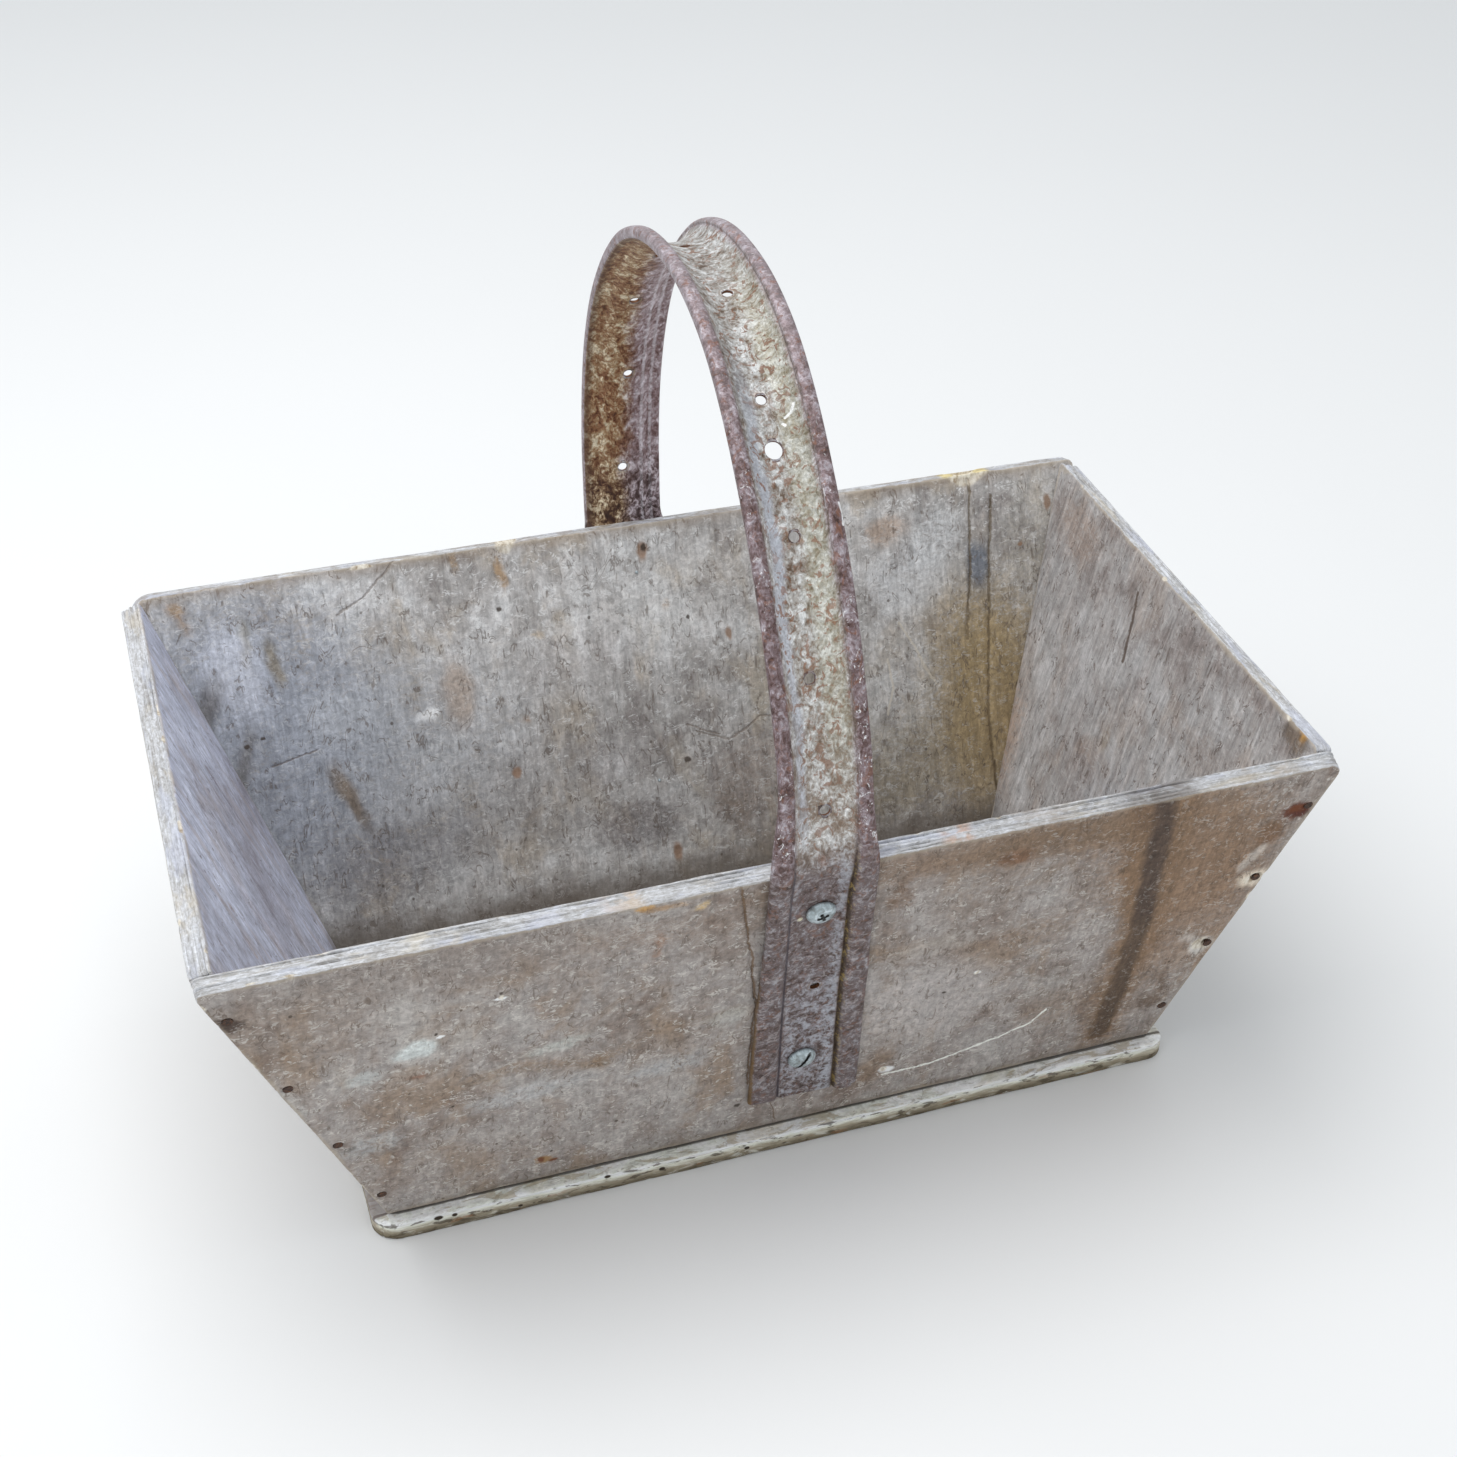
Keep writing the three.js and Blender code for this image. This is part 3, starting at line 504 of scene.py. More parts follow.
right = board("right_end_panel", cR, (281.0, HR, T), 41, eY, tR, fR, nR,
              round_corners=[(1, 1, 4.0), (0, 1, 5.0)],
              cracks=[([(28.4, 165.7), (21.7, 138.6)], 0.7, 0.5, -1)],
              stains=((), RIGHT_STAINS), ks=(K_FRONT, K_RIGHT))

BW, BD = 376.0, 205.0


def cBase(u, v, w):
    # u along x, v along y, w = 1 is the top face
    return v3(-182.0 + u * BW, -102.5 + v * BD, BASE_T * w)


base = board("base_panel", cBase, (BW, BD, T), 53, eX, eY, v3(0, 0, 0), v3(0, 0, 1), round_r=1.3, warp=0.0, edge_wear=0.8, lowest=0.04,
             round_corners=[(0, 0, 12.0), (1, 0, 9.0), (0, 1, 10.0), (1, 1, 9.0)])

# ------------------------------------------------------------------ handle
ARCH = [
    (-151.0, 193.0), (-151.3, 199.0), (-150.2, 211.4), (-146.4, 237.5), (-139.0, 263.6), (-129.0, 288.6),
    (-116.3, 313.2), (-100.4, 336.8), (-80.6, 358.4), (-56.6, 375.5), (-29.1, 385.4), (0.9, 387.6),
    (31.3, 383.5), (59.0, 373.1), (83.7, 357.0), (105.3, 337.4), (123.1, 315.4), (136.2, 291.3),
    (144.7, 265.5), (149.4, 238.5), (151.0, 211.8), (151.3, 199.0), (151.0, 193.0)]


def on_board(side, s, lift):
    n = nF if side < 0 else nB
    return v3(0, side * (150 - s * math.sin(LEAN)), RIM_Z - s * math.cos(LEAN)) + n * lift


ctrl = [on_board(-1, s, 0.5) for s in (LAP, 140, 110, 80, 50, 25, 8)]
ctrl += [v3(0, y, z) for y, z in ARCH]
ctrl += [on_board(1, s, 0.5) for s in (8, 25, 50, 80, 110, 140, LAP)]
ctrl = np.array(ctrl)


def catmull(points, per=40):
    P = np.concatenate([[2 * points[0] - points[1]], points, [2 * points[-1] - points[-2]]])
    out = []
    for i in range(1, len(P) - 2):
        p0, p1, p2, p3 = P[i - 1:i + 3]
        d0, d1, d2 = (max(1e-4, np.linalg.norm(q - p) ** 0.5) for p, q in ((p0, p1), (p1, p2), (p2, p3)))
        t1 = ((p1 - p0) / d0 - (p2 - p0) / (d0 + d1) + (p2 - p1) / d1) * d1
        t2 = ((p2 - p1) / d1 - (p3 - p1) / (d1 + d2) + (p3 - p2) / d2) * d1
        t = np.linspace(0, 1, per, endpoint=False)[:, None]
        out.append(p1 + t1 * t + (-3 * p1 + 3 * p2 - 2 * t1 - t2) * t * t + (2 * p1 - 2 * p2 + t1 + t2) * t ** 3)
    out.append(points[-1:])
    return np.concatenate(out)


rail = catmull(ctrl)
arc = np.concatenate([[0], np.cumsum(np.linalg.norm(np.diff(rail, axis=0), axis=1))])
LEN = arc[-1]


def rail_at(s):
    """position and outward direction at arc length s (s may run slightly past the ends)."""
    s = np.asarray(s, float)
    y, z = np.interp(s, arc, rail[:, 1]), np.interp(s, arc, rail[:, 2])
    e = 1.5
    y1, z1 = np.interp(np.clip(s + e, 0, LEN), arc, rail[:, 1]), np.interp(np.clip(s + e, 0, LEN), arc, rail[:, 2])
    y0, z0 = np.interp(np.clip(s - e, 0, LEN), arc, rail[:, 1]), np.interp(np.clip(s - e, 0, LEN), arc, rail[:, 2])
    dy, dz = y1 - y0, z1 - z0
    n = np.hypot(dy, dz)
    dy, dz = dy / n, dz / n
    over = np.where(s < 0, s, np.where(s > LEN, s - LEN, 0))
    y, z = y + dy * over, z + dz * over
    return y, z, -dz, dy


def flatness(from_end):
    above = from_end - LAP
    return 0.72 * (1 - smooth(-4, 46, above)) + 0.28 * (1 - smooth(-LAP, -10, above))


def centre_x(s):
    s = np.asarray(s, float)
    a = 2.7 + 1.0 * (1 - smooth(LAP - 10, LAP + 30, s)) + 0.0305 * np.maximum(0, LAP - s)
    b = 2.7 - 0.8 * smooth(LEN - LAP - 120, LEN - LAP, s)
    return np.where(s < LEN / 2, a, b)


# sections (u, v): tyre side from the middle out to the side wall, then the hub side back to the middle
TYRE_A = [(0, 1.25), (3.8, 1.55), (7.4, 2.6), (10.4, 4.7), (12.4, 6.9), (13.1, 7.5), (13.0, 8.6), (14.0, 9.7), (16.2, 10.1), (18.1, 9.7), (19.0, 8.6), (19.05, 7.0), (18.9, 5.6)]
HUB_A = [(18.1, 4.7), (16.4, 4.4), (14.2, 4.5), (12.6, 4.0), (10.2, 2.5), (7.2, 1.05), (3.8, 0.3), (0, 0)]
TYRE_E = [(0, 1.7), (3.8, 1.75), (7.4, 1.65), (10.4, 1.6), (12.2, 1.35), (12.8, 0.75), (13.4, 1.5), (14.6, 2.6), (17.6, 3.0), (21.5, 2.95), (24.3, 2.75), (25.3, 1.9), (25.3, 0.7)]
HUB_E = [(24.6, 0.2), (22.4, 0.16), (18.4, 0.1), (14.6, 0.08), (11.0, 0.05), (7.4, 0.02), (3.8, 0.01), (0, 0)]


def refine(rows, per=4):
    P = np.array([(u, v, 0) for u, v in rows], float)
    return catmull(P, per)[:, :2]


def section(tyre, hub, per=4):
    t, h = refine(tyre, per), refine(hub, per)
    right = np.concatenate([t, h])                       # middle of the tyre side .. middle of the hub side
    l = right[1:-1][::-1] * np.array([-1, 1])
    return np.concatenate([right, l])


secA, secE = section(TYRE_A, HUB_A), section(TYRE_E, HUB_E)
M = len(secA)
n_tyre = len(refine(TYRE_A))
w = 1 + 1.5 * np.exp(-(((arc - LAP - 4) / 22) ** 2)) + 1.5 * np.exp(-(((LEN - arc - LAP - 4) / 22) ** 2))
acc = np.concatenate([[0], np.cumsum(0.5 * (w[1:] + w[:-1]) * np.diff(arc))])
STN = 330
S = np.interp(np.linspace(0, acc[-1], STN + 1), acc, arc)
f = np.where(S < LEN / 2, flatness(S), flatness(LEN - S) * smooth(LAP + 3, LAP - 16, LEN - S))
UV = secA[None] * (1 - f[:, None, None]) + secE[None] * f[:, None, None]
U, Vv = UV[..., 0], UV[..., 1]
SS = np.repeat(S[:, None], M, 1)
endw = smooth(30, 0, np.minimum(SS, LEN - SS))
hub_side = np.zeros(M, bool)
hub_side[n_tyre:M - n_tyre + 1] = True
# saw-cut ends are slightly out of square and uneven
front_end = smooth(26, 0, SS)
SS = SS - front_end * U * 0.055 + front_end * 0.5 * fbm(U, 0, 0, 7.0, 2, 3)
SS = SS + smooth(26, 0, LEN - SS) * U * 0.03
# hammered dents on the ends, light dents and waviness elsewhere
flat = f[:, None]
dent = fbm(U, SS, 0, 11.0, 3, 71) * 0.55 * smooth(0.35, 0.95, flat) + fbm(U, SS, 0, 42.0, 2, 72) * 0.22
dent = dent * np.where(hub_side[None], 0.25, 1.0)
dent = np.where(hub_side[None] & (flat > 0.6), np.maximum(dent, -0.05), dent)
side_wave = fbm(SS, np.sign(U) * 50, 0, 55.0, 2, 73) * 0.5 * smooth(9, 17, np.abs(U))
edge_wave = fbm(SS, np.sign(U) * 90, 0, 16.0, 2, 74) * 0.45 * smooth(15, 24, np.abs(U)) * smooth(0.3, 0.9, flat)
Y, Z, OY, OZ = rail_at(SS)
CX = centre_x(SS)
Vd = Vv + dent * np.where(hub_side[None], 0.0, 1.0)
Vd = Vd - np.where(hub_side[None], 0.45 * (np.exp(-((U - 8.6) / 0.9) ** 2) + np.exp(-((np.abs(U) - 13.6) / 1.0) ** 2)) * (1 - flat), 0.0)
lapf = smooth(LAP + 20, LAP - 20, SS)
skew = np.where(U > 0, (1.5 - 0.0243 * SS) * np.interp(U, [4, 12.9, 23.5], [0, 1, 0]), (1.4 - 0.0165 * SS) * np.interp(-U, [4, 12.9, 23.5], [0, 1, 0])) * lapf
skew = skew - 1.4 * smooth(60, 160, SS) * smooth(LAP + 60, LAP + 10, SS) * smooth(10, 25, U) + 0.9 * smooth(90, 0, SS)
X = CX + U + skew + side_wave * np.sign(U) * 0.4 + edge_wave * np.sign(U)
verts = np.stack([X, Y + OY * Vd, Z + OZ * Vd], -1).reshape(-1, 3)
faces = []
for i in range(STN):
    for j in range(M):
        k = (j + 1) % M
        faces.append([i * M + j, i * M + k, (i + 1) * M + k, (i + 1) * M + j])
# end caps: one face across each end's section
h = M // 2


def cap(row, flip):
    # one face over the whole ring of the section
    ring = list(range(row * M, row * M + M))
    return [ring[::-1] if flip else ring]


faces += cap(0, False) + cap(STN, True)
rp = np.stack([U, Vv, SS], -1).reshape(-1, 3) / 1000.0
handle = new_object("rim_band", verts, faces, 38, {"rp": rp, "fl": np.repeat(f[:, None], M, 1).ravel(),
                                                   "hub": np.repeat(hub_side[None].astype(float), STN + 1, 0).ravel()})
outward(handle)

PITCH = 54.6
stations = []
s = LAP - 25.2 - 2 * PITCH
while s < LEN - 20:
    stations.append(s)
    s += PITCH
ns = len(stations)
screw_ids = (0, 2, ns - 3, ns - 1)
cut = []
for k, s in enumerate(stations):
    if k in screw_ids:
        continue
    y, z, oy, oz = (float(q) for q in rail_at(s))
    x = float(centre_x(s)) + (0.9 if k % 2 else -0.9)
    cut.append(rod(v3(x, y, z) - v3(0, oy, oz) * 6, v3(0, oy, oz), 18, 2.2, 24, 0.10, k))
y, z, oy, oz = (float(q) for q in rail_at(LAP + 172.5))
cut.append(rod(v3(2.1, y, z) - v3(0, oy, oz) * 6, v3(0, oy, oz), 18, 3.6, 32, 0.04, 40))
cv, cf = join_parts(cut)
cutter = new_object("rim_cut", cv, cf, 0)
outward(cutter)
apply_boolean(handle, cutter, 38)

# ------------------------------------------------------------------ screws
def lathe(profile, seg):
    """profile: (r, y) from the axis at the tip to the axis at the top, along local +y."""
    vs, fs, rings = [], [], []
    for r, y in profile:
        if r < 1e-6:
            rings.append([len(vs)])
            vs.append((0, y, 0))
        else:
            rings.append(list(range(len(vs), len(vs) + seg)))
            vs += [(r * math.cos(2 * math.pi * i / seg), y, r * math.sin(2 * math.pi * i / seg)) for i in range(seg)]
    for p, q in zip(rings[:-1], rings[1:]):
        for i in range(seg):
            j = (i + 1) % seg
            if len(p) == 1:
                fs.append([p[0], q[i], q[j]])
            elif len(q) == 1:
                fs.append([p[i], q[0], p[j]])
            else:
                fs.append([p[i], q[i], q[j], p[j]])
    return np.array(vs, float), fs


def turn(vs, a):
    c, s_ = math.cos(a), math.sin(a)
    vs = np.asarray(vs, float)
    return np.stack([vs[:, 0] * c + vs[:, 2] * s_, vs[:, 1], -vs[:, 0] * s_ + vs[:, 2] * c], -1)


def box_part(cx, cy, cz, lx, ly, lz):
    vs = [(cx + x * lx / 2, cy + y * ly / 2, cz + z * lz / 2) for x in (-1, 1) for y in (-1, 1) for z in (-1, 1)]
    fs = [[0, 1, 3, 2], [4, 6, 7, 5], [0, 4, 5, 1], [2, 3, 7, 6], [0, 2, 6, 4], [1, 5, 7, 3]]
    return np.array(vs, float), fs


def place(vs, origin, out):
    """local +y goes to out, local x stays near +x."""
    yv = unit(out)
    xv = unit(v3(1, 0, 0) - yv * yv[0])
    zv = np.cross(xv, yv)
    return origin + vs[:, :1] * xv + vs[:, 1:2] * yv + vs[:, 2:3] * zv


def screw(name, s, x, cross, angle, seed):
    y, z, oy, oz = (float(q) for q in rail_at(s))
    out = v3(0, oy, oz)
    seat = v3(x, y, z) + out * 1.95
    R, Hh = 6.3, 3.4
    prof = [(0, -13.0), (0.5, -12.2), (1.5, -10.2)]
    # threads as stacked rings
    yy = -9.6
    while yy < -3.2:
        prof += [(1.55, yy), (2.0, yy + 0.35), (1.55, yy + 0.7)]
        yy += 0.95
    prof += [(1.9, -2.6), (1.9, -0.2), (R - 0.5, -0.25), (R - 0.1, -0.05), (R, 0.35), (R - 0.02, 0.8), (R - 0.35, 1.45), (R - 1.1, 2.15),
             (R - 2.2, 2.8), (R - 3.6, 3.2), (R - 5.0, 3.38), (0, Hh)]
    vs, fs = lathe(prof, 48)
    wob = 1 + 0.02 * fbm(vs[:, 0], vs[:, 1], vs[:, 2], 5.0, 2, seed)
    vs = vs * np.stack([wob, np.ones(len(vs)), wob], -1)
    # hd is 1 over the turned screw; the slot walls cut later carry 0 and take painted shade in the material
    ob = new_object(name, place(turn(vs, angle), seat, out), fs, 32, {"hd": np.ones(len(vs))})
    outward(ob)
    parts = []
    if cross:
        for a in (0, math.pi / 2):
            v, q = box_part(0, Hh - 0.15, 0, 6.6, 2.0, 1.35)
            v[:, 0] *= np.where(v[:, 1] > Hh - 0.2, 1.0, 0.55)
            v[:, 2] *= np.where(v[:, 1] > Hh - 0.2, 1.0, 0.6)
            parts.append((turn(v, angle + a), q))
    else:
        v, q = box_part(0, Hh - 0.1, 0, 14, 2.3, 1.3)
        parts.append((turn(v, angle), q))
    for v, q in parts:
        c = new_object("slot_cut", place(v, seat, out), q, 0)
        outward(c)
        apply_boolean(ob, c, 32)
    return ob


st = stations
screws = [
    (screw("screw_front_upper", st[2], float(centre_x(st[2])) - 0.4, True, 0.35, 1), "handle_screw_front_upper"),
    (screw("screw_front_lower", st[0], float(centre_x(st[0])) - 1.4, False, 1.05, 2), "handle_screw_front_lower"),
    (screw("screw_back_upper", st[ns - 3], float(centre_x(st[ns - 3])), True, 0.9, 3), "handle_screw_back_upper"),
    (screw("screw_back_lower", st[ns - 1], float(centre_x(st[ns - 1])), False, 0.2, 4), "handle_screw_back_lower"),
]

# ------------------------------------------------------------------ shader toolkit
def rgb(c, k=1.0):
    """a display colour 0-255 as the base colour of a surface that receives k of full light"""
    return tuple(min(lin(x) / k, 0.92) for x in c) + (1.0,)


class Mat:
    def __init__(s, name):
        s.m = bpy.data.materials.new(name)
        s.m.use_nodes = True
        s.t = s.m.node_tree
        s.t.nodes.clear()
        s.count = 0

    def node(s, kind, ins=None, **props):
        n = s.t.nodes.new(kind)
        s.count += 1
        n.location = ((s.count % 30) * 180, -(s.count // 30) * 220)
        for k, v in props.items():
            setattr(n, k, v)
        for k, v in (ins or {}).items():
            s.put(n.inputs[k], v)
        return n

    def put(s, sock, v):
        if v is None:
            return
        if isinstance(v, bpy.types.NodeSocket):
            s.t.links.new(v, sock)
        else:
            sock.default_value = v

    def f(s, op, a, b=None, c=None, clamp=False):
        n = s.node("ShaderNodeMath", operation=op, use_clamp=clamp)
        for sock, v in zip(n.inputs, (a, b, c)):
            s.put(sock, v)
        return n.outputs[0]

    def add(s, a, b): return s.f("ADD", a, b)
    def sub(s, a, b): return s.f("SUBTRACT", a, b)
    def mul(s, a, b): return s.f("MULTIPLY", a, b)
    def mx(s, a, b): return s.f("MAXIMUM", a, b)
    def mn(s, a, b): return s.f("MINIMUM", a, b)

    def mad(s, a, k, c): return s.f("MULTIPLY_ADD", a, k, c)

    def v(s, op, a, b=None, scale=None):
        n = s.node("ShaderNodeVectorMath", operation=op)
        s.put(n.inputs[0], a)
        if b is not None:
            s.put(n.inputs[1], b)
        if scale is not None:
            s.put(n.inputs["Scale"], scale)
        return n.outputs["Value"] if op in ("LENGTH", "DOT_PRODUCT", "DISTANCE") else n.outputs["Vector"]

    def attr(s, name, out="Vector"):
        return s.node("ShaderNodeAttribute", attribute_name=name).outputs[out]

    def xyz(s, vec):
        return s.node("ShaderNodeSeparateXYZ", {0: vec}).outputs

    def red(s, color):
        return s.node("ShaderNodeSeparateColor", {0: color}).outputs[0]

    def at(s, P, size, off=(0, 0, 0)):
        """P in mm, offset and divided by a feature size in mm"""
        if any(off):
            P = s.v("ADD", P, off)
        size = (size,) * 3 if isinstance(size, (int, float)) else size
        return s.v("DIVIDE", P, tuple(size))

    def mapped(s, n, size, off):
        """feature size in mm and an offset, through the texture's own mapping"""
        size = (size,) * 3 if isinstance(size, (int, float)) else size
        n.texture_mapping.vector_type = "POINT"
        n.texture_mapping.scale = tuple(1.0 / q for q in size)
        n.texture_mapping.translation = tuple(o / q for o, q in zip(off, size))
        return n

    def noise(s, P, size, detail=3.0, rough=0.5, dist=0.0, off=(0, 0, 0), out=0):
        n = s.node("ShaderNodeTexNoise", {"Vector": P, "Scale": 1.0, "Detail": detail, "Roughness": rough, "Distortion": dist})
        return s.mapped(n, size, off).outputs[out]

    def wander(s, P, size, amount, off=(0, 0, 0)):
        """P moved about by up to amount (u, v) mm"""
        a = s.noise(P, size, 3, 0.6, 0, off)
        b = s.noise(P, size, 3, 0.6, 0, (off[0] + 400, off[1] + 70, off[2]))
        d = s.node("ShaderNodeCombineXYZ", {0: s.mad(a, amount[0] * 2, -amount[0]), 1: s.mad(b, amount[1] * 2, -amount[1])}).outputs[0]
        return s.v("ADD", P, d)

    def cells(s, P, size, off=(0, 0, 0), rand=1.0, feature="F1"):
        n = s.node("ShaderNodeTexVoronoi", {"Vector": P, "Scale": 1.0, "Randomness": rand}, feature=feature)
        s.mapped(n, size, off)
        return n.outputs["Distance"], n.outputs["Color"]

    def r(s, x, a, b, lo=0.0, hi=1.0, kind="SMOOTHSTEP"):
        """x from a to b becomes lo to hi; a may be above b"""
        if a > b:
            a, b, lo, hi = b, a, hi, lo
        n = s.node("ShaderNodeMapRange", {"Value": x, "From Min": a, "From Max": b, "To Min": lo, "To Max": hi}, interpolation_type=kind)
        return n.outputs[0]

    def mix(s, f, a, b, blend="MIX"):
        n = s.node("ShaderNodeMix", data_type="RGBA", blend_type=blend, clamp_factor=True)
        s.put(n.inputs[0], f)
        s.put(n.inputs[6], a)
        s.put(n.inputs[7], b)
        return n.outputs[2]

    def mixf(s, f, a, b):
        n = s.node("ShaderNodeMix", data_type="FLOAT", clamp_factor=True)
        s.put(n.inputs[0], f)
        s.put(n.inputs[2], a)
        s.put(n.inputs[3], b)
        return n.outputs[0]

    def ramp(s, x, stops, kind="LINEAR"):
        n = s.node("ShaderNodeValToRGB", {0: x})
        e = n.color_ramp.elements
        n.color_ramp.interpolation = kind
        while len(e) < len(stops):
            e.new(0.5)
        for el, (p, c) in zip(e, stops):
            el.position = p
        for el, (p, c) in zip(e, stops):
            el.color = c if len(c) == 4 else (*c, 1)
        return n.outputs[0]

    def gray(s, color, f):
        """lighter or darker by the factor f"""
        return s.node("ShaderNodeHueSaturation", {"Color": color, "Value": f}).outputs[0]

    def seg(s, P2, pts):
        """distance in mm from a polyline in the plane"""
        best = None
        for (x0, y0), (x1, y1) in zip(pts[:-1], pts[1:]):
            pa = s.v("SUBTRACT", P2, (x0, y0, 0))
            ba = (x1 - x0, y1 - y0, 0)
            h = s.f("MULTIPLY", s.v("DOT_PRODUCT", pa, ba), 1.0 / (ba[0] ** 2 + ba[1] ** 2), clamp=True)
            d = s.v("LENGTH", s.v("SUBTRACT", pa, s.v("SCALE", ba, scale=h)))
            best = d if best is None else s.mn(best, d)
        return best

    def spot(s, P2, c, rad, turn=0.0):
        """1 at the outline of an ellipse, 0 at its middle"""
        pa = s.v("SUBTRACT", P2, (c[0], c[1], 0))
        if turn:
            n = s.node("ShaderNodeVectorRotate", {"Vector": pa, "Angle": -turn}, rotation_type="Z_AXIS")
            pa = n.outputs[0]
        return s.v("LENGTH", s.v("DIVIDE", pa, (rad[0], rad[1], 1.0)))

    def finish(s, color, rough, height=None, metallic=0.0, strength=1.0, specular=0.35):
        b = s.node("ShaderNodeBsdfPrincipled")
        s.put(b.inputs["Base Color"], color)
        s.put(b.inputs["Roughness"], rough)
        s.put(b.inputs["Metallic"], metallic)
        b.inputs["Specular IOR Level"].default_value = specular
        if height is not None:
            bump = s.node("ShaderNodeBump", {"Strength": strength, "Distance": 0.001, "Height": height})
            s.put(b.inputs["Normal"], bump.outputs[0])
        out = s.node("ShaderNodeOutputMaterial")
        s.t.links.new(b.outputs[0], out.inputs[0])
        return s.m


def weathered(M, P, k, c, off=(0, 0, 0), tint=None, gx=1.0, strokes=0.5, fine=0.6, fleck=0.6, hair=0.5, long_hair=0.5, warm=0.5, cont=1.0):
    """A weathered plywood face. P is (along, up the slope, depth) in mm and the grain runs up the slope. c has the display colours
    dark, mid, pale, warm, fleck and line. Returns the colour, the relief in mm and a roughness."""
    O = lambda x, y, z: (off[0] + x, off[1] + y, off[2] + z)
    Pw = M.wander(P, (30, 60, 30), (3.5, 5), O(11, 5, 3))
    large = M.noise(Pw, (62, 78, 60), 3, 0.55, 0, O(0, 0, 0))
    mid = M.noise(Pw, (15, 21, 15), 5, 0.66, 0.4, O(31, 7, 0))
    t = M.add(M.mul(large, 0.45), M.mul(mid, 0.55))
    col = M.ramp(t, [(0.37, rgb(c["dark"], k)), (0.46, rgb(c["mid"], k)), (0.53, rgb(c["mid2"], k)), (0.64, rgb(c["pale"], k))])
    wm = M.noise(Pw, (34, 52, 30), 4, 0.62, 0.5, O(3, 91, 0))
    col = M.mix(M.mul(M.r(wm, 0.50, 0.68), warm), col, rgb(c["warm"], k))
    if tint:
        tc, ta = tint
        brk = M.noise(P, (4.2, 2.8, 4.0), 5, 0.72, 1.1, O(17, 8, 4))
        ta = M.f("MULTIPLY", ta, M.r(M.add(M.add(M.mul(mid, 0.30), M.mul(brk, 0.95)), M.mul(ta, 0.40)), 0.62, 0.92, 0.18, 1.3), clamp=True)
        col = M.mix(ta, col, tc)
    g1 = M.noise(Pw, (1.5 * gx, 12.0, 5.0), 4, 0.62, 0.25, O(0, 0, 7))
    g2 = M.noise(Pw, (4.2 * gx, 34.0, 6.0), 3, 0.6, 0.2, O(0, 9, 17))
    g3 = M.noise(Pw, (3.0, 3.4, 3.0), 4, 0.74, 1.0, O(5, 0, 27))
    val = M.mad(M.sub(g1, 0.5), strokes * 1.1, 1.0)
    val = M.mul(val, M.mad(M.sub(g2, 0.5), strokes * 0.7, 1.0))
    val = M.mul(val, M.mad(M.sub(g3, 0.5), fine * 1.2, 1.0))
    val = M.mul(val, M.mad(M.sub(M.noise(Pw, (8.0, 6.5, 7.0), 3, 0.62, 1.2, O(70, 1, 2)), 0.5), 0.62 * cont, 1.0))
    col = M.gray(col, val)
    # pale curved flecks, wider than they are tall
    n1 = M.noise(P, (6.4, 3.6, 6.0), 2.5, 0.5, 1.0, O(9, 3, 1))
    l1 = M.mul(M.r(M.f("ABSOLUTE", M.sub(n1, 0.5)), 0.036, 0.014), M.r(M.noise(P, (5.4, 4.6, 7.0), 2, 0.55, 0.5, O(40, 2, 1)), 0.52, 0.60))
    n2 = M.noise(P, (3.4, 4.8, 5.0), 2.5, 0.5, 1.2, O(29, 33, 1))
    l2 = M.mul(M.r(n2, 0.60, 0.68), M.r(M.noise(P, (16.0, 11.0, 9.0), 2, 0.5, 0, O(4, 22, 1)), 0.48, 0.62))
    fl = M.mul(M.f("MAXIMUM", l1, M.mul(l2, 0.8)), fleck)
    if tint:
        fl = M.mul(fl, M.mad(tint[1], -0.72, 1.0))
    # dark hairlines: short strokes, mostly along the grain, and a few long ones
    n3 = M.noise(P, (4.6, 11.0, 8.0), 2.5, 0.5, 1.0, O(55, 13, 1))
    h1 = M.mul(M.r(M.f("ABSOLUTE", M.sub(n3, 0.5)), 0.032, 0.012), M.r(M.noise(P, (8.0, 9.0, 9.0), 2, 0.55, 0.4, O(14, 62, 1)), 0.53, 0.62))
    n4 = M.noise(P, (21.0, 46.0, 20.0), 3, 0.45, 0.9, O(75, 3, 1))
    h2 = M.mul(M.r(M.f("ABSOLUTE", M.sub(n4, 0.47)), 0.0055, 0.0012), M.r(M.noise(P, (30.0, 24.0, 9.0), 2, 0.5, 0, O(24, 6, 1)), 0.52, 0.60))
    n5 = M.noise(P, (1.9, 12.0, 8.0), 2, 0.5, 0.5, O(5, 3, 61))
    h3 = M.mul(M.r(n5, 0.36, 0.27), M.r(M.noise(P, (9.0, 16.0, 9.0), 2, 0.5, 0, O(64, 6, 1)), 0.48, 0.60))
    hs = M.f("MAXIMUM", h1, h3)
    hl = M.f("MAXIMUM", M.mul(hs, hair), M.mul(h2, long_hair))
    # specks
    d, cc = M.cells(P, (13.0, 15.0, 13.0), O(7, 7, 7))
    sp = M.mul(M.r(d, 0.075, 0.045), M.r(M.red(cc), 0.55, 0.6))
    col = M.mix(fl, col, rgb(c["fleck"], k))
    col = M.mix(hl, col, rgb(c["line"], k))
    col = M.mix(M.mul(sp, 0.75), col, rgb(c["speck"], k))
    h = M.mad(M.sub(g1, 0.5), 0.30, 0.0)
    h = M.mad(M.sub(g3, 0.5), 0.45, h)
    h = M.mad(hs, -0.32 * hair, h)
    rough = M.mad(M.sub(g3, 0.5), 0.25, 0.80)
    return col, h, rough


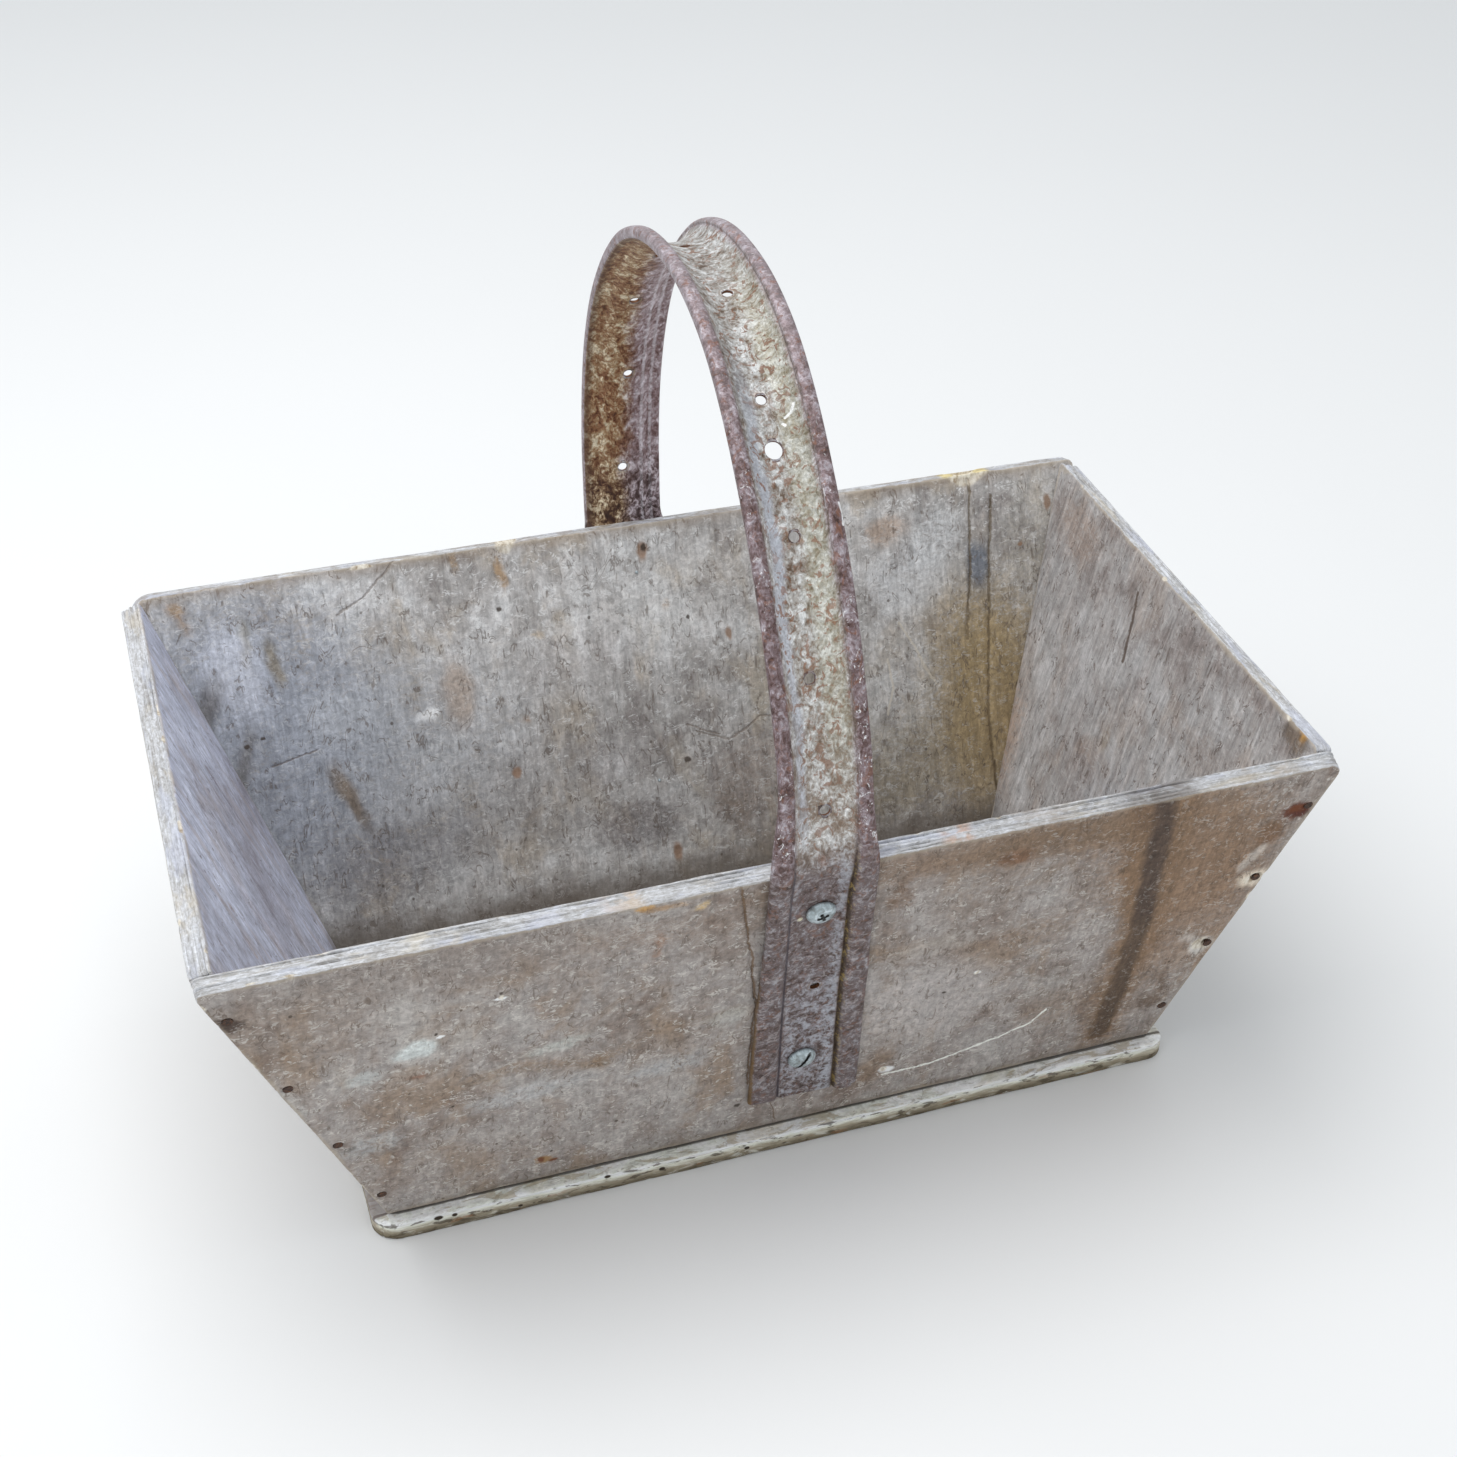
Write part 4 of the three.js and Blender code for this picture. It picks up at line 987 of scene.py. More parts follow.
def sawn(M, P, k, c, off=(0, 0, 0)):
    """The sawn edge of the plywood: bleached fibres along the board, five plies, dark open seams."""
    x = M.xyz(P)
    w = M.mad(M.sub(M.noise(P, (24, 24, 400), 3, 0.5, 0, off), 0.5), 0.9, x[2])
    u1 = M.noise(P, (13.0, 13.0, 0.75), 4, 0.62, 0.2, off)
    u2 = M.noise(P, (46.0, 46.0, 2.2), 4, 0.6, 0.3, (off[0] + 7, off[1], 3))
    u3 = M.noise(P, (3.4, 3.4, 1.5), 4, 0.72, 0.8, (off[0], off[1] + 5, 3))
    t = M.add(M.mul(u1, 0.26), M.add(M.mul(u2, 0.32), M.mul(u3, 0.42)))
    col = M.ramp(t, [(0.34, rgb(c["e_dark"], k)), (0.44, rgb(c["e_mid"], k)), (0.51, rgb(c["e_pale"], k)), (0.62, rgb(c["e_white"], k))])
    warm = M.noise(P, (38, 38, 9), 4, 0.6, 0.4, (off[0] + 60, off[1], 13))
    col = M.mix(M.mul(M.r(warm, 0.54, 0.66), 0.42), col, rgb(c["e_warm"], k))
    col = M.mix(M.mul(M.r(warm, 0.46, 0.36), 0.45), col, rgb((178, 182, 198), k))
    ply = M.ramp(M.mul(w, 1 / 9.0), [(0.0, (0.9,) * 3), (0.165, (0.97,) * 3), (0.178, (0.55,) * 3), (0.20, (0.84,) * 3), (0.385, (0.84,) * 3), (0.40, (0.55,) * 3),
                                     (0.42, (1.0,) * 3), (0.585, (1.0,) * 3), (0.60, (0.55,) * 3), (0.62, (0.84,) * 3), (0.80, (0.88,) * 3), (0.822, (0.52,) * 3),
                                     (0.84, (1.0,) * 3)])
    seam = M.r(M.noise(P, (30, 30, 5), 3, 0.5, 0, (off[0] + 20, off[1], 23)), 0.42, 0.62, 0.10, 0.85)
    col = M.mix(seam, col, M.mix(1.0, col, ply, "MULTIPLY"))
    cr = M.noise(P, (10.0, 10.0, 0.55), 2, 0.5, 0.3, (off[0] + 33, off[1], 43))
    crack = M.mul(M.r(cr, 0.33, 0.27), 0.38)
    col = M.mix(crack, col, rgb(c["e_dark"], k * 1.6))
    col = M.gray(col, M.mad(M.sub(u3, 0.5), 0.42, 0.96))
    h = M.mad(M.sub(u1, 0.5), 0.9, M.mul(crack, -0.5))
    h = M.mad(M.sub(u3, 0.5), 0.5, h)
    return col, h


def board_materials(name, *args, **kw):
    """the inner face's material and the outer face's; each also covers the nearer half of the sawn edges"""
    return [board_material(name + "_in", False, *args, **kw), board_material(name + "_out", True, *args, **kw)]


def board_material(name, outside, k_out, k_in, outer, inner, edge, off, paint_out=None, paint_in=None, edge_paint=None, tune_out=None, tune_in=None, k_edge=0.85):
    M = Mat(name)
    P = M.v("SCALE", M.attr("bl"), scale=1000.0)
    x = M.xyz(P)
    P2 = M.node("ShaderNodeCombineXYZ", {0: x[0], 1: x[1]}).outputs[0]
    Pf = M.wander(M.wander(P2, 12.0, (1.7, 1.7), (63, 3, 3)), 2.4, (0.9, 0.9), (13, 3, 3))
    tint = (M.attr("tint", "Color"), M.attr("amt", "Fac"))
    k, c, paint, tune = (k_out, outer, paint_out, tune_out) if outside else (k_in, inner, paint_in, tune_in)
    col, h, rough = weathered(M, P, k, c, off if outside else (off[0] + 300, off[1], off[2]), tint, **(tune or {}))
    if paint:
        col, h = paint(M, P, Pf, x, col, h, k)
    q = M.attr("q", "Fac")
    wear = M.attr("wear", "Fac")
    nq = M.noise(P, (7, 7, 3), 4, 0.65, 0.5, (off[0] + 90, 2, 2))
    nb = M.noise(P, (28, 28, 9), 3, 0.6, 0.3, (off[0] + 95, 2, 2))
    qn = M.mad(M.sub(nq, 0.5), 3.2, q)
    edge_m = M.r(qn, 0.7, -0.3)
    ce, he = sawn(M, P, k_edge, edge, off)
    if edge_paint:
        ce = edge_paint(M, P, x, ce, k_edge)
    worn = M.mul(M.r(M.mad(M.sub(nb, 0.5), 9.0, qn), 2.6, 0.2), 0.55)
    col = M.mix(worn, col, rgb(edge["arris"], k_edge))
    col = M.mix(edge_m, col, ce)
    torn = M.r(M.mad(M.sub(nq, 0.5), 0.8, wear), 0.25, 0.7)
    tc = M.ramp(M.noise(P, (2.5, 6, 3), 4, 0.65, 0.4, (off[0] + 44, 2, 2)), [(0.35, rgb(edge["torn_dark"], k_edge)), (0.5, rgb(edge["torn"], k_edge)), (0.65, rgb(edge["torn_pale"], k_edge))])
    col = M.mix(M.mul(torn, 0.85), col, tc)
    h = M.mixf(edge_m, h, he)
    return M.finish(col, rough, h, strength=0.85, specular=0.25)


EDGE = dict(e_dark=(140, 134, 128), e_mid=(166, 164, 163), e_pale=(188, 188, 190), e_white=(214, 216, 222), e_warm=(186, 174, 152), arris=(168, 156, 140),
            torn=(205, 196, 180), torn_dark=(150, 132, 108), torn_pale=(228, 222, 210))
FRONT = dict(dark=(118, 105, 97), mid=(139, 130, 124), mid2=(148, 141, 137), pale=(163, 158, 154), warm=(134, 113, 92), fleck=(186, 181, 175), line=(92, 78, 66), speck=(70, 60, 52))
BACK = dict(dark=(118, 113, 111), mid=(142, 139, 137), mid2=(156, 154, 153), pale=(176, 176, 176), warm=(142, 130, 114), fleck=(192, 192, 192), line=(88, 78, 70), speck=(74, 68, 62))
BACK_OUT = dict(BACK, mid=(138, 130, 124), mid2=(150, 144, 139), warm=(134, 115, 95))
LEFT_IN = dict(dark=(126, 124, 134), mid=(146, 148, 162), mid2=(154, 157, 172), pale=(172, 175, 190), warm=(150, 140, 136), fleck=(186, 188, 200), line=(104, 98, 104), speck=(92, 84, 84))
RIGHT_IN = dict(dark=(122, 114, 111), mid=(144, 139, 137), mid2=(152, 149, 148), pale=(170, 168, 168), warm=(142, 124, 110), fleck=(182, 180, 179), line=(100, 90, 84), speck=(84, 74, 66))
LIP = dict(dark=(150, 149, 142), mid=(180, 182, 176), mid2=(194, 197, 192), pale=(208, 211, 208), warm=(160, 148, 124), fleck=(224, 225, 222), line=(96, 84, 66), speck=(70, 62, 50))


def stain(M, d, a, b, amount, col, colour, k):
    """mix a colour in where the distance d runs from b (none) to a (full)"""
    return M.mix(M.mul(M.r(d, b, a), amount), col, rgb(colour, k))


def nearest(M, P2, rows):
    """smallest outline distance over a group of small ellipses (u, v, ru, rv)"""
    best = None
    for (u, v, ru, rv) in rows:
        d = M.spot(P2, (u, v), (ru, rv))
        best = d if best is None else M.mn(best, d)
    return best


def paint_front(M, P, Pf, x, col, h, k):
    up = M.noise(P, (1.7, 16, 5), 4, 0.62, 0.2, (1, 1, 1))
    col = M.gray(col, M.mad(M.mul(M.sub(up, 0.5), M.r(x[0], 60, 170)), 0.75, 1.0))
    # the scratch and its white chip
    sc = M.seg(Pf, [(49, 21), (71.7, 21.8), (104.9, 30.6), (119, 36.5), (126, 45)])
    scm = M.mul(M.r(sc, 0.95, 0.4), M.r(M.noise(P, 3, 2, 0.5), 0.38, 0.5, 0.6, 1.0))
    col = M.mix(scm, col, rgb((224, 220, 213), k))
    h = M.mad(scm, -0.3, h)
    white = nearest(M, Pf, [(50.4, 24.8, 4.6, 2.8), (84.9, 89.7, 2.0, 1.2), (-125.9, 148.1, 2.6, 1.1), (-150, 130, 2.2, 1.2)])
    col = stain(M, white, 0.55, 1.15, 1.0, col, (230, 227, 220), k)
    dots = nearest(M, Pf, [(70.8, 79.4, 1.1, 1.1), (-152.0, 132.4, 1.0, 1.0), (-145.9, 76, 1.0, 1.0), (-20, 24, 1.4, 1.4), (-104, 22, 0.9, 0.9), (199.6, 70.2, 2.6, 2.2)])
    col = stain(M, dots, 0.55, 1.15, 0.9, col, (62, 54, 47), k)
    rust = nearest(M, Pf, [(215.6, 117.0, 2.9, 2.6), (-108.3, 16.5, 1.6, 2.4), (-102.5, 14.2, 2.6, 1.1), (223, 164.5, 5.5, 4.0)])
    col = stain(M, rust, 0.5, 1.2, 0.9, col, (104, 60, 38), k)
    # cracks
    d = M.mn(M.seg(Pf, [(-31, 192), (-29.5, 184.4), (-23.1, 144.3), (-17.9, 105.8), (-16.5, 40)]), M.add(M.seg(Pf, [(-4.6, 21), (-0.4, 4)]), 0.2))
    d = M.mn(d, M.add(M.seg(Pf, [(118, 192), (121, 178)]), 0.35))
    col = stain(M, d, 0.15, 0.75, 0.8, col, (104, 82, 60), k)
    h = M.mad(M.r(d, 0.8, 0.2), -0.4, h)
    foot = M.mad(M.sub(M.noise(P, (14, 9, 9), 4, 0.6), 0.5), 14.0, x[1])
    col = M.mix(M.mul(M.r(foot, 8, 0), 0.45), col, rgb((112, 98, 84), k))
    # painted shadow: a dark line along the foot of the outer face, in the gap above the base
    col = M.mix(M.mul(M.r(x[1], 1.3, 0.5), 0.8), col, rgb((64, 55, 46), k))
    return col, h


def paint_back_in(M, P, Pf, x, col, h, k):
    # painted shade: the inner face darker towards the bottom, where the inside of the box is shaded
    blot = M.noise(P, (26, 26, 20), 5, 0.66, 0.8, (5, 5, 5))
    shade = M.r(M.mad(M.sub(blot, 0.5), 110.0, x[1]), 20, 190, 0.86, 1.10)
    col = M.gray(col, shade)
    rust = nearest(M, Pf, [(5.9, 176.9, 3.0, 6.0), (45.5, 128, 2.0, 4.2), (7.8, 17.7, 2.8, 5.5), (-68.5, 75.4, 2.6, 3.4), (206, 150, 1.4, 1.4), (223, 170, 2.4, 5.0)])
    col = stain(M, rust, 0.5, 1.2, 0.8, col, (118, 90, 68), k)
    dots = nearest(M, Pf, [(-67.8, 159, 1.4, 1.4), (25, 140, 1.3, 1.3), (17, 66, 2.2, 1.8), (6.6, 178.5, 1.3, 3.0), (-194.5, 112, 1.5, 1.5), (-186, 115, 1.2, 1.2)])
    col = stain(M, dots, 0.5, 1.15, 0.9, col, (62, 54, 48), k)
    top = M.mad(M.sub(M.noise(P, (9, 9, 9), 4, 0.6), 0.5), 9.0, x[1])
    col = M.mix(M.mul(M.r(top, 183, 190), 0.4), col, rgb((116, 98, 80), k))
    chip = nearest(M, Pf, [(179, 193.5, 15, 4.6), (-19.4, 194.5, 7, 2.6)])
    col = stain(M, chip, 0.7, 1.15, 0.95, col, (208, 190, 134), k)
    d = M.mn(M.seg(Pf, [(180.1, 188.0), (180.1, 179.8), (177.5, 140), (173.3, 103.7)]), M.seg(Pf, [(191.4, 178.0), (187.0, 120.0), (182.2, 61.6), (184.3, 16.0)]))
    col = stain(M, d, 0.2, 1.0, 0.7, col, (86, 74, 56), k)
    e = M.mn(M.seg(Pf, [(-113, 193), (-118, 186), (-131, 175.5), (-143.7, 168.3)]), M.seg(Pf, [(-184, 99.7), (-162, 105)]))
    e = M.mn(e, M.mn(M.seg(Pf, [(19, 84.3), (35, 76)]), M.seg(Pf, [(24, 80), (40, 72), (58, 82), (72, 78)])))
    col = stain(M, e, 0.1, 0.75, 0.55, col, (96, 84, 74), k)
    h = M.mad(M.r(M.mn(d, M.add(e, 0.2)), 1.2, 0.3), -0.4, h)
    g = M.mn(M.seg(Pf, [(136, 118), (142, 108), (154, 82)]), M.seg(Pf, [(128, 100), (130, 84), (126, 70)]))
    col = stain(M, g, 0.3, 1.0, 0.5, col, (178, 170, 156), k)
    foot = M.mad(M.sub(M.noise(P, (12, 9, 9), 4, 0.6, 0.5), 0.5), 18.0, x[1])
    col = M.mix(M.mul(M.r(foot, 22, 2), 0.75), col, rgb((76, 68, 60), k))
    return col, h


def paint_left_in(M, P, Pf, x, col, h, k):
    s1 = M.noise(P, (3.4, 60, 9), 4, 0.6, 0.3, (4, 4, 4))
    s2 = M.noise(P, (1.2, 26, 9), 4, 0.6, 0.3, (14, 4, 4))
    col = M.gray(col, M.mul(M.mad(M.sub(s1, 0.5), 0.55, 1.0), M.mad(M.sub(s2, 0.5), 0.45, 1.0)))
    col = M.mix(M.mul(M.r(M.noise(P, (9, 70, 9), 3, 0.6, 0.4, (24, 4, 4)), 0.53, 0.66), 0.5), col, rgb((142, 134, 136), k))
    line = M.noise(P, (2.2, 34, 9), 3, 0.5, 0.6, (34, 4, 4))
    dk = M.r(line, 0.33, 0.25)
    col = M.mix(M.mul(dk, 0.55), col, rgb((96, 88, 96), k))
    h = M.mad(dk, -0.4, M.mad(M.sub(s2, 0.5), 0.5, h))
    foot = M.mad(M.sub(M.noise(P, (12, 9, 9), 4, 0.6, 0.5), 0.5), 18.0, x[1])
    col = M.mix(M.mul(M.r(foot, 20, 4), 0.6), col, rgb((92, 86, 84), k))
    return col, h


def paint_right_in(M, P, Pf, x, col, h, k):
    s1 = M.noise(P, (3.0, 42, 9), 4, 0.6, 0.3, (4, 4, 4))
    s2 = M.noise(P, (1.3, 17, 9), 4, 0.62, 0.4, (14, 4, 4))
    col = M.gray(col, M.mul(M.mad(M.sub(s1, 0.5), 0.5, 1.0), M.mad(M.sub(s2, 0.5), 0.55, 1.0)))
    line = M.noise(P, (2.4, 24, 9), 3, 0.5, 0.7, (34, 4, 4))
    dk = M.r(line, 0.32, 0.24)
    col = M.mix(M.mul(dk, 0.6), col, rgb((98, 88, 84), k))
    h = M.mad(dk, -0.4, M.mad(M.sub(s2, 0.5), 0.5, h))
    d = M.seg(Pf, [(30, 172), (28.4, 165.7), (21.7, 138.6)])
    col = stain(M, d, 0.5, 1.6, 0.9, col, (82, 70, 62), k)
    foot = M.mad(M.sub(M.noise(P, (12, 9, 9), 4, 0.6, 0.5), 0.5), 18.0, x[1])
    col = M.mix(M.mul(M.r(foot, 20, 4), 0.6), col, rgb((92, 86, 80), k))
    return col, h


def edge_front(M, P, x, col, k):
    # the top edge darkens where the stripe starts, and is blotched brown to the right
    n = M.noise(P, (10, 10, 5), 4, 0.6, 0.4, (50, 4, 4))
    m = M.mul(M.r(M.f("ABSOLUTE", M.sub(x[0], 155)), 30, 6), M.r(n, 0.36, 0.56, 0.45, 1.0))
    col = M.mix(M.mul(m, 0.75), col, rgb((112, 104, 98), k))
    for c, w, tone, amt in ((-78, 12, (190, 160, 118), 0.5), (62, 9, (188, 148, 120), 0.6), (100, 16, (140, 124, 108), 0.4), (-150, 20, (206, 196, 176), 0.4), (205, 18, (158, 140, 118), 0.4),
                            (-95, 26, (186, 188, 200), 0.5)):
        col = M.mix(M.mul(M.mul(M.r(M.f("ABSOLUTE", M.sub(x[0], c)), w, w * 0.3), M.r(n, 0.4, 0.58)), amt), col, rgb(tone, k))
    return col


def edge_back(M, P, x, col, k):
    n = M.noise(P, (10, 10, 5), 4, 0.6, 0.4, (50, 4, 4))
    m = M.mul(M.r(M.f("ABSOLUTE", M.sub(x[0], 179)), 15, 11), 1.0)
    col = M.mix(M.mul(m, 0.85), col, rgb((216, 198, 140), k))
    col = M.mix(M.mul(M.r(n, 0.45, 0.6), 0.45), col, rgb((128, 112, 96), k))
    return col


def lip_material():
    M = Mat("base_ply_weathered")
    P = M.v("SCALE", M.attr("bl"), scale=1000.0)
    x = M.xyz(P)
    k = 0.56
    P2 = M.node("ShaderNodeCombineXYZ", {0: x[0], 1: x[1]}).outputs[0]
    Pr = M.v("ADD", M.node("ShaderNodeCombineXYZ", {0: x[1], 1: x[0], 2: x[2]}).outputs[0], (0, 0, 0))   # grain along the base's length
    col, h, rough = weathered(M, Pr, k, LIP, (900, 0, 0), strokes=0.55, fine=0.5, fleck=0.45, hair=0.45, long_hair=0.3, warm=0.5)
    # chipped paint: patches of bare brown wood
    n = M.noise(P, (18, 7, 5), 5, 0.66, 0.8, (3, 3, 3))
    bare = M.r(n, 0.52, 0.58)
    col = M.mix(M.mul(bare, 0.6), col, rgb((142, 130, 108), k))
    h = M.mad(bare, -0.25, h)
    # the floor of the box: grime
    inx = M.mul(M.r(M.f("ABSOLUTE", M.sub(x[0], 6)), 178, 170), M.r(M.f("ABSOLUTE", x[1]), 92, 84))
    gr = M.noise(P, (40, 30, 20), 5, 0.62, 0.6, (13, 3, 3))
    dirt = M.ramp(gr, [(0.35, rgb((74, 64, 54), k)), (0.5, rgb((112, 104, 96), k)), (0.65, rgb((140, 134, 126), k))])
    inside = M.mul(inx, M.r(x[2], 5.5, 7.5))
    col = M.mix(M.mul(inside, 0.8), col, dirt)
    # sawn rim: pale paint above, mossy and dark below
    q = M.attr("q", "Fac")
    nq = M.noise(P, (9, 9, 2.2), 4, 0.66, 0.5, (33, 3, 3))
    edge_m = M.r(M.mad(M.sub(nq, 0.5), 2.6, q), 0.6, -0.4)
    w = M.mad(M.sub(nq, 0.5), 5.5, x[2])
    ce = M.ramp(M.mul(w, 1 / 9.0), [(0.10, rgb((84, 76, 62), k)), (0.30, rgb((108, 100, 84), k)), (0.52, rgb((136, 128, 112), k)), (0.74, rgb((184, 184, 174), k)), (0.9, rgb((208, 211, 204), k))])
    fib = M.noise(P, (16, 16, 0.7), 4, 0.62, 0.3, (43, 3, 3))
    ce = M.gray(ce, M.mad(M.sub(fib, 0.5), 0.9, 1.0))
    ce = M.mix(M.mul(M.r(M.noise(P, (9, 9, 3), 4, 0.6, 0.5, (53, 3, 3)), 0.54, 0.62), 0.8), ce, rgb((62, 54, 42), k))
    ce = M.mix(M.mul(M.r(M.noise(P, (13, 13, 3), 4, 0.6, 0.5, (63, 3, 3)), 0.56, 0.66), 0.6), ce, rgb((178, 176, 168), k))
    rust = M.r(M.noise(P, (20, 20, 3), 4, 0.6, 0.5, (73, 3, 3)), 0.60, 0.68)
    ce = M.mix(M.mul(rust, 0.5), ce, rgb((120, 82, 52), k))
    col = M.mix(edge_m, col, ce)
    # underside
    # painted shadow: dark lines where the walls stand on the base, in the crease between the parts
    ax_, ay_ = M.f("ABSOLUTE", M.sub(x[0], 0.0)), M.f("ABSOLUTE", x[1])
    wall_foot_shadow = M.mul(M.r(M.f("ABSOLUTE", M.sub(M.mad(M.sub(nq, 0.5), 1.2, ay_), 95.0)), 1.5, 0.5), M.r(x[2], 6, 8))
    col = M.mix(M.mul(wall_foot_shadow, 0.85), col, rgb((58, 50, 42), k))
    und = M.r(x[2], 1.2, 0.2)
    uc = M.ramp(M.noise(P, (30, 9, 9), 5, 0.62, 0.5, (83, 3, 3)), [(0.35, rgb((86, 74, 60), 0.8)), (0.5, rgb((128, 114, 96), 0.8)), (0.65, rgb((160, 150, 134), 0.8))])
    uc = M.gray(uc, M.mad(M.sub(M.noise(P, (24, 1.6, 9), 4, 0.6, 0.3, (93, 3, 3)), 0.5), 0.7, 1.0))
    col = M.mix(M.mul(und, M.r(q, -0.2, 1.0)), col, uc)
    # small worm holes along the front lip and a chip near its left end
    holes = nearest(M, M.node("ShaderNodeCombineXYZ", {0: x[0], 1: x[2]}).outputs[0], [(-79.8, 8.0, 1.5, 1.0), (-55.1, 4.9, 1.5, 1.0), (-15.6, 5.2, 1.3, 0.9), (-154.6, 7.4, 2.1, 1.2), (-147.6, 7.0, 1.3, 1.0), (-119, 3.2, 1.1, 0.8)])
    col = M.mix(M.mul(M.r(holes, 1.15, 0.75), M.r(x[1], -99, -101)), col, rgb((44, 36, 28), k))
    # the strip past the left end board is dark with grime
    lg = M.mul(M.r(M.mad(M.sub(gr, 0.5), 10.0, x[0]), -170, -175), M.r(x[2], 4, 8))
    col = M.mix(M.mul(M.mul(lg, M.r(x[1], -100, -92)), 0.75), col, rgb((104, 94, 92), k))
    h = M.mixf(edge_m, h, M.mad(M.sub(fib, 0.5), 0.8, 0.0))
    return M.finish(col, rough, h, strength=0.85, specular=0.3)


def rim_material():
    M = Mat("rim_steel_worn")
    k = 0.80
    P = M.v("SCALE", M.node("ShaderNodeTexCoord").outputs["Object"], scale=1000.0)
    R = M.v("SCALE", M.attr("rp"), scale=1000.0)
    rx = M.xyz(R)
    u, s_ = rx[0], rx[2]
    hub = M.attr("hub", "Fac")
    au = M.f("ABSOLUTE", u)
    n1 = M.noise(P, (7, 7, 9), 5, 0.66, 0.8, (1, 1, 1))
    n2 = M.noise(P, (2.6, 2.6, 3.4), 4, 0.68, 1.0, (11, 1, 1))
    n3 = M.noise(P, (26, 26, 34), 4, 0.6, 0.6, (21, 1, 1))
    n4 = M.noise(P, (4.4, 4.4, 5.4), 4, 0.62, 1.4, (31, 1, 1))
    mot = M.add(M.mul(n1, 0.5), M.mul(n2, 0.5))
    # web: dull plating
    web = M.ramp(mot, [(0.38, rgb((98, 78, 62), k)), (0.45, rgb((150, 141, 133), k)), (0.52, rgb((186, 184, 181), k)), (0.59, rgb((222, 224, 224), k))])
    green = M.mul(M.r(M.mad(M.sub(n3, 0.5), 12.0, u), 0, 7), M.mul(M.r(s_, 190, 240), M.r(s_, 460, 380)))
    web = M.mix(M.mul(green, 0.32), web, rgb((170, 168, 138), k))
    blue = M.mul(M.r(M.f("ABSOLUTE", M.sub(M.mad(M.sub(n3, 0.5), 10.0, u), -8.5)), 4.0, 1.0), M.mul(M.r(s_, 170, 200), M.r(s_, 400, 330)))
    web = M.mix(M.mul(blue, 0.72), web, rgb((190, 195, 207), k))
    rustm = M.mul(M.r(n4, 0.54, 0.60), M.r(n3, 0.34, 0.60, 0.45, 1.0))
    web = M.mix(M.mul(rustm, 0.82), web, rgb((128, 88, 64), k))
    # painted shade: the web darkened towards the top of the arch, against the overhead light falling most strongly
    # there
    top = M.mul(M.r(s_, LEN / 2 - 190, LEN / 2 - 60), 1.0)
    web = M.gray(web, M.mad(top, -0.32, 1.0))
    lowweb = M.mul(M.r(s_, 300, 190), M.r(mot, 0.42, 0.56, 1.0, 0.4))
    web = M.mix(M.mul(lowweb, 0.55), web, rgb((128, 112, 98), k))
    # flanges: purple-brown
    fla = M.ramp(mot, [(0.38, rgb((62, 42, 37), k)), (0.46, rgb((98, 78, 77), k)), (0.53, rgb((128, 113, 116), k)), (0.62, rgb((168, 161, 167), k))])
    arch_up = M.mul(M.r(s_, 300, 440), M.r(s_, 760, 640))
    fla = M.mix(M.mul(arch_up, 0.32), fla, rgb((158, 152, 158), k))
    fla = M.mix(M.mul(M.r(n4, 0.55, 0.64), 0.6), fla, rgb((112, 72, 52), k))
    # painted highlight: small white glints on the flanges of the lower arch
    painted_glint = M.mul(M.r(M.noise(P, (1.7, 1.7, 2.6), 3, 0.6, 1.2, (41, 1, 1)), 0.60, 0.66), M.r(M.noise(P, (12, 12, 16), 2, 0.5, 0, (51, 1, 1)), 0.44, 0.58))
    near = M.mul(M.r(s_, 165, 180), M.r(s_, 360, 290))
    fla = M.mix(M.mul(painted_glint, M.r(near, 0, 1, 0.25, 0.9)), fla, rgb((226, 222, 224), k))
    # section: where the web ends
    uw = M.mad(M.sub(n1, 0.5), 2.2, au)
    col = M.mix(M.r(uw, 11.0, 14.0), web, fla)
    # flattened ends
    endc = M.ramp(mot, [(0.38, rgb((58, 44, 40), k)), (0.45, rgb((88, 73, 70), k)), (0.53, rgb((110, 100, 101), k)), (0.62, rgb((150, 148, 152), k))])
    endc = M.mix(M.mul(M.r(n4, 0.54, 0.63), 0.5), endc, rgb((112, 76, 58), k))
    e_pale = M.mul(M.r(M.noise(P, (4.6, 4.6, 3.0), 3, 0.6, 1.4, (61, 1, 1)), 0.56, 0.62), 0.4)
    endc = M.mix(e_pale, endc, rgb((176, 170, 170), k))
    rblue = M.r(M.f("ABSOLUTE", M.sub(M.mad(M.sub(n1, 0.5), 4.0, u), 8.8)), 4.2, 1.0)
    endc = M.mix(M.mul(M.mul(rblue, M.r(mot, 0.42, 0.56)), 0.5), endc, rgb((158, 162, 170), k))
    endc = M.mix(M.mul(M.mul(M.r(s_, 110, 60), M.r(au, 12.6, 10.6)), M.r(mot, 0.44, 0.58, 0.0, 0.66)), endc, rgb((164, 166, 174), k))
    fend = M.r(M.mad(M.sub(n3, 0.5), 36.0, s_), 188, 160)
    bend = M.r(M.mad(M.sub(n3, 0.5), 36.0, s_), LEN - 188, LEN - 160)
    ends = M.f("MAXIMUM", fend, bend)
    col = M.mix(ends, col, endc)
    # painted shadow: dark lines in the grooves beside the web on the flattened ends
    g = M.r(M.f("ABSOLUTE", M.sub(u, 12.9)), 1.5, 0.5)
    col = M.mix(M.mul(M.mul(g, ends), 0.9), col, rgb((58, 44, 30), k))
    g = M.r(M.f("ABSOLUTE", M.add(u, 12.9)), 0.9, 0.3)
    col = M.mix(M.mul(M.mul(g, ends), 0.75), col, rgb((84, 78, 84), k))
    # rusty thin edge along the left of the flattened end, darkened with painted shade on its side face
    le = M.mul(M.r(M.mad(M.sub(n2, 0.5), 1.6, u), -23.6, -24.6), ends)
    col = M.mix(M.mul(le, 0.85), col, rgb((104, 80, 48), k))
    gy_ = M.mul(M.mul(M.r(M.f("ABSOLUTE", M.sub(u, 13.6)), 2.0, 0.6), ends), M.r(n2, 0.52, 0.6))
    col = M.mix(M.mul(gy_, 0.7), col, rgb((146, 124, 72), k))
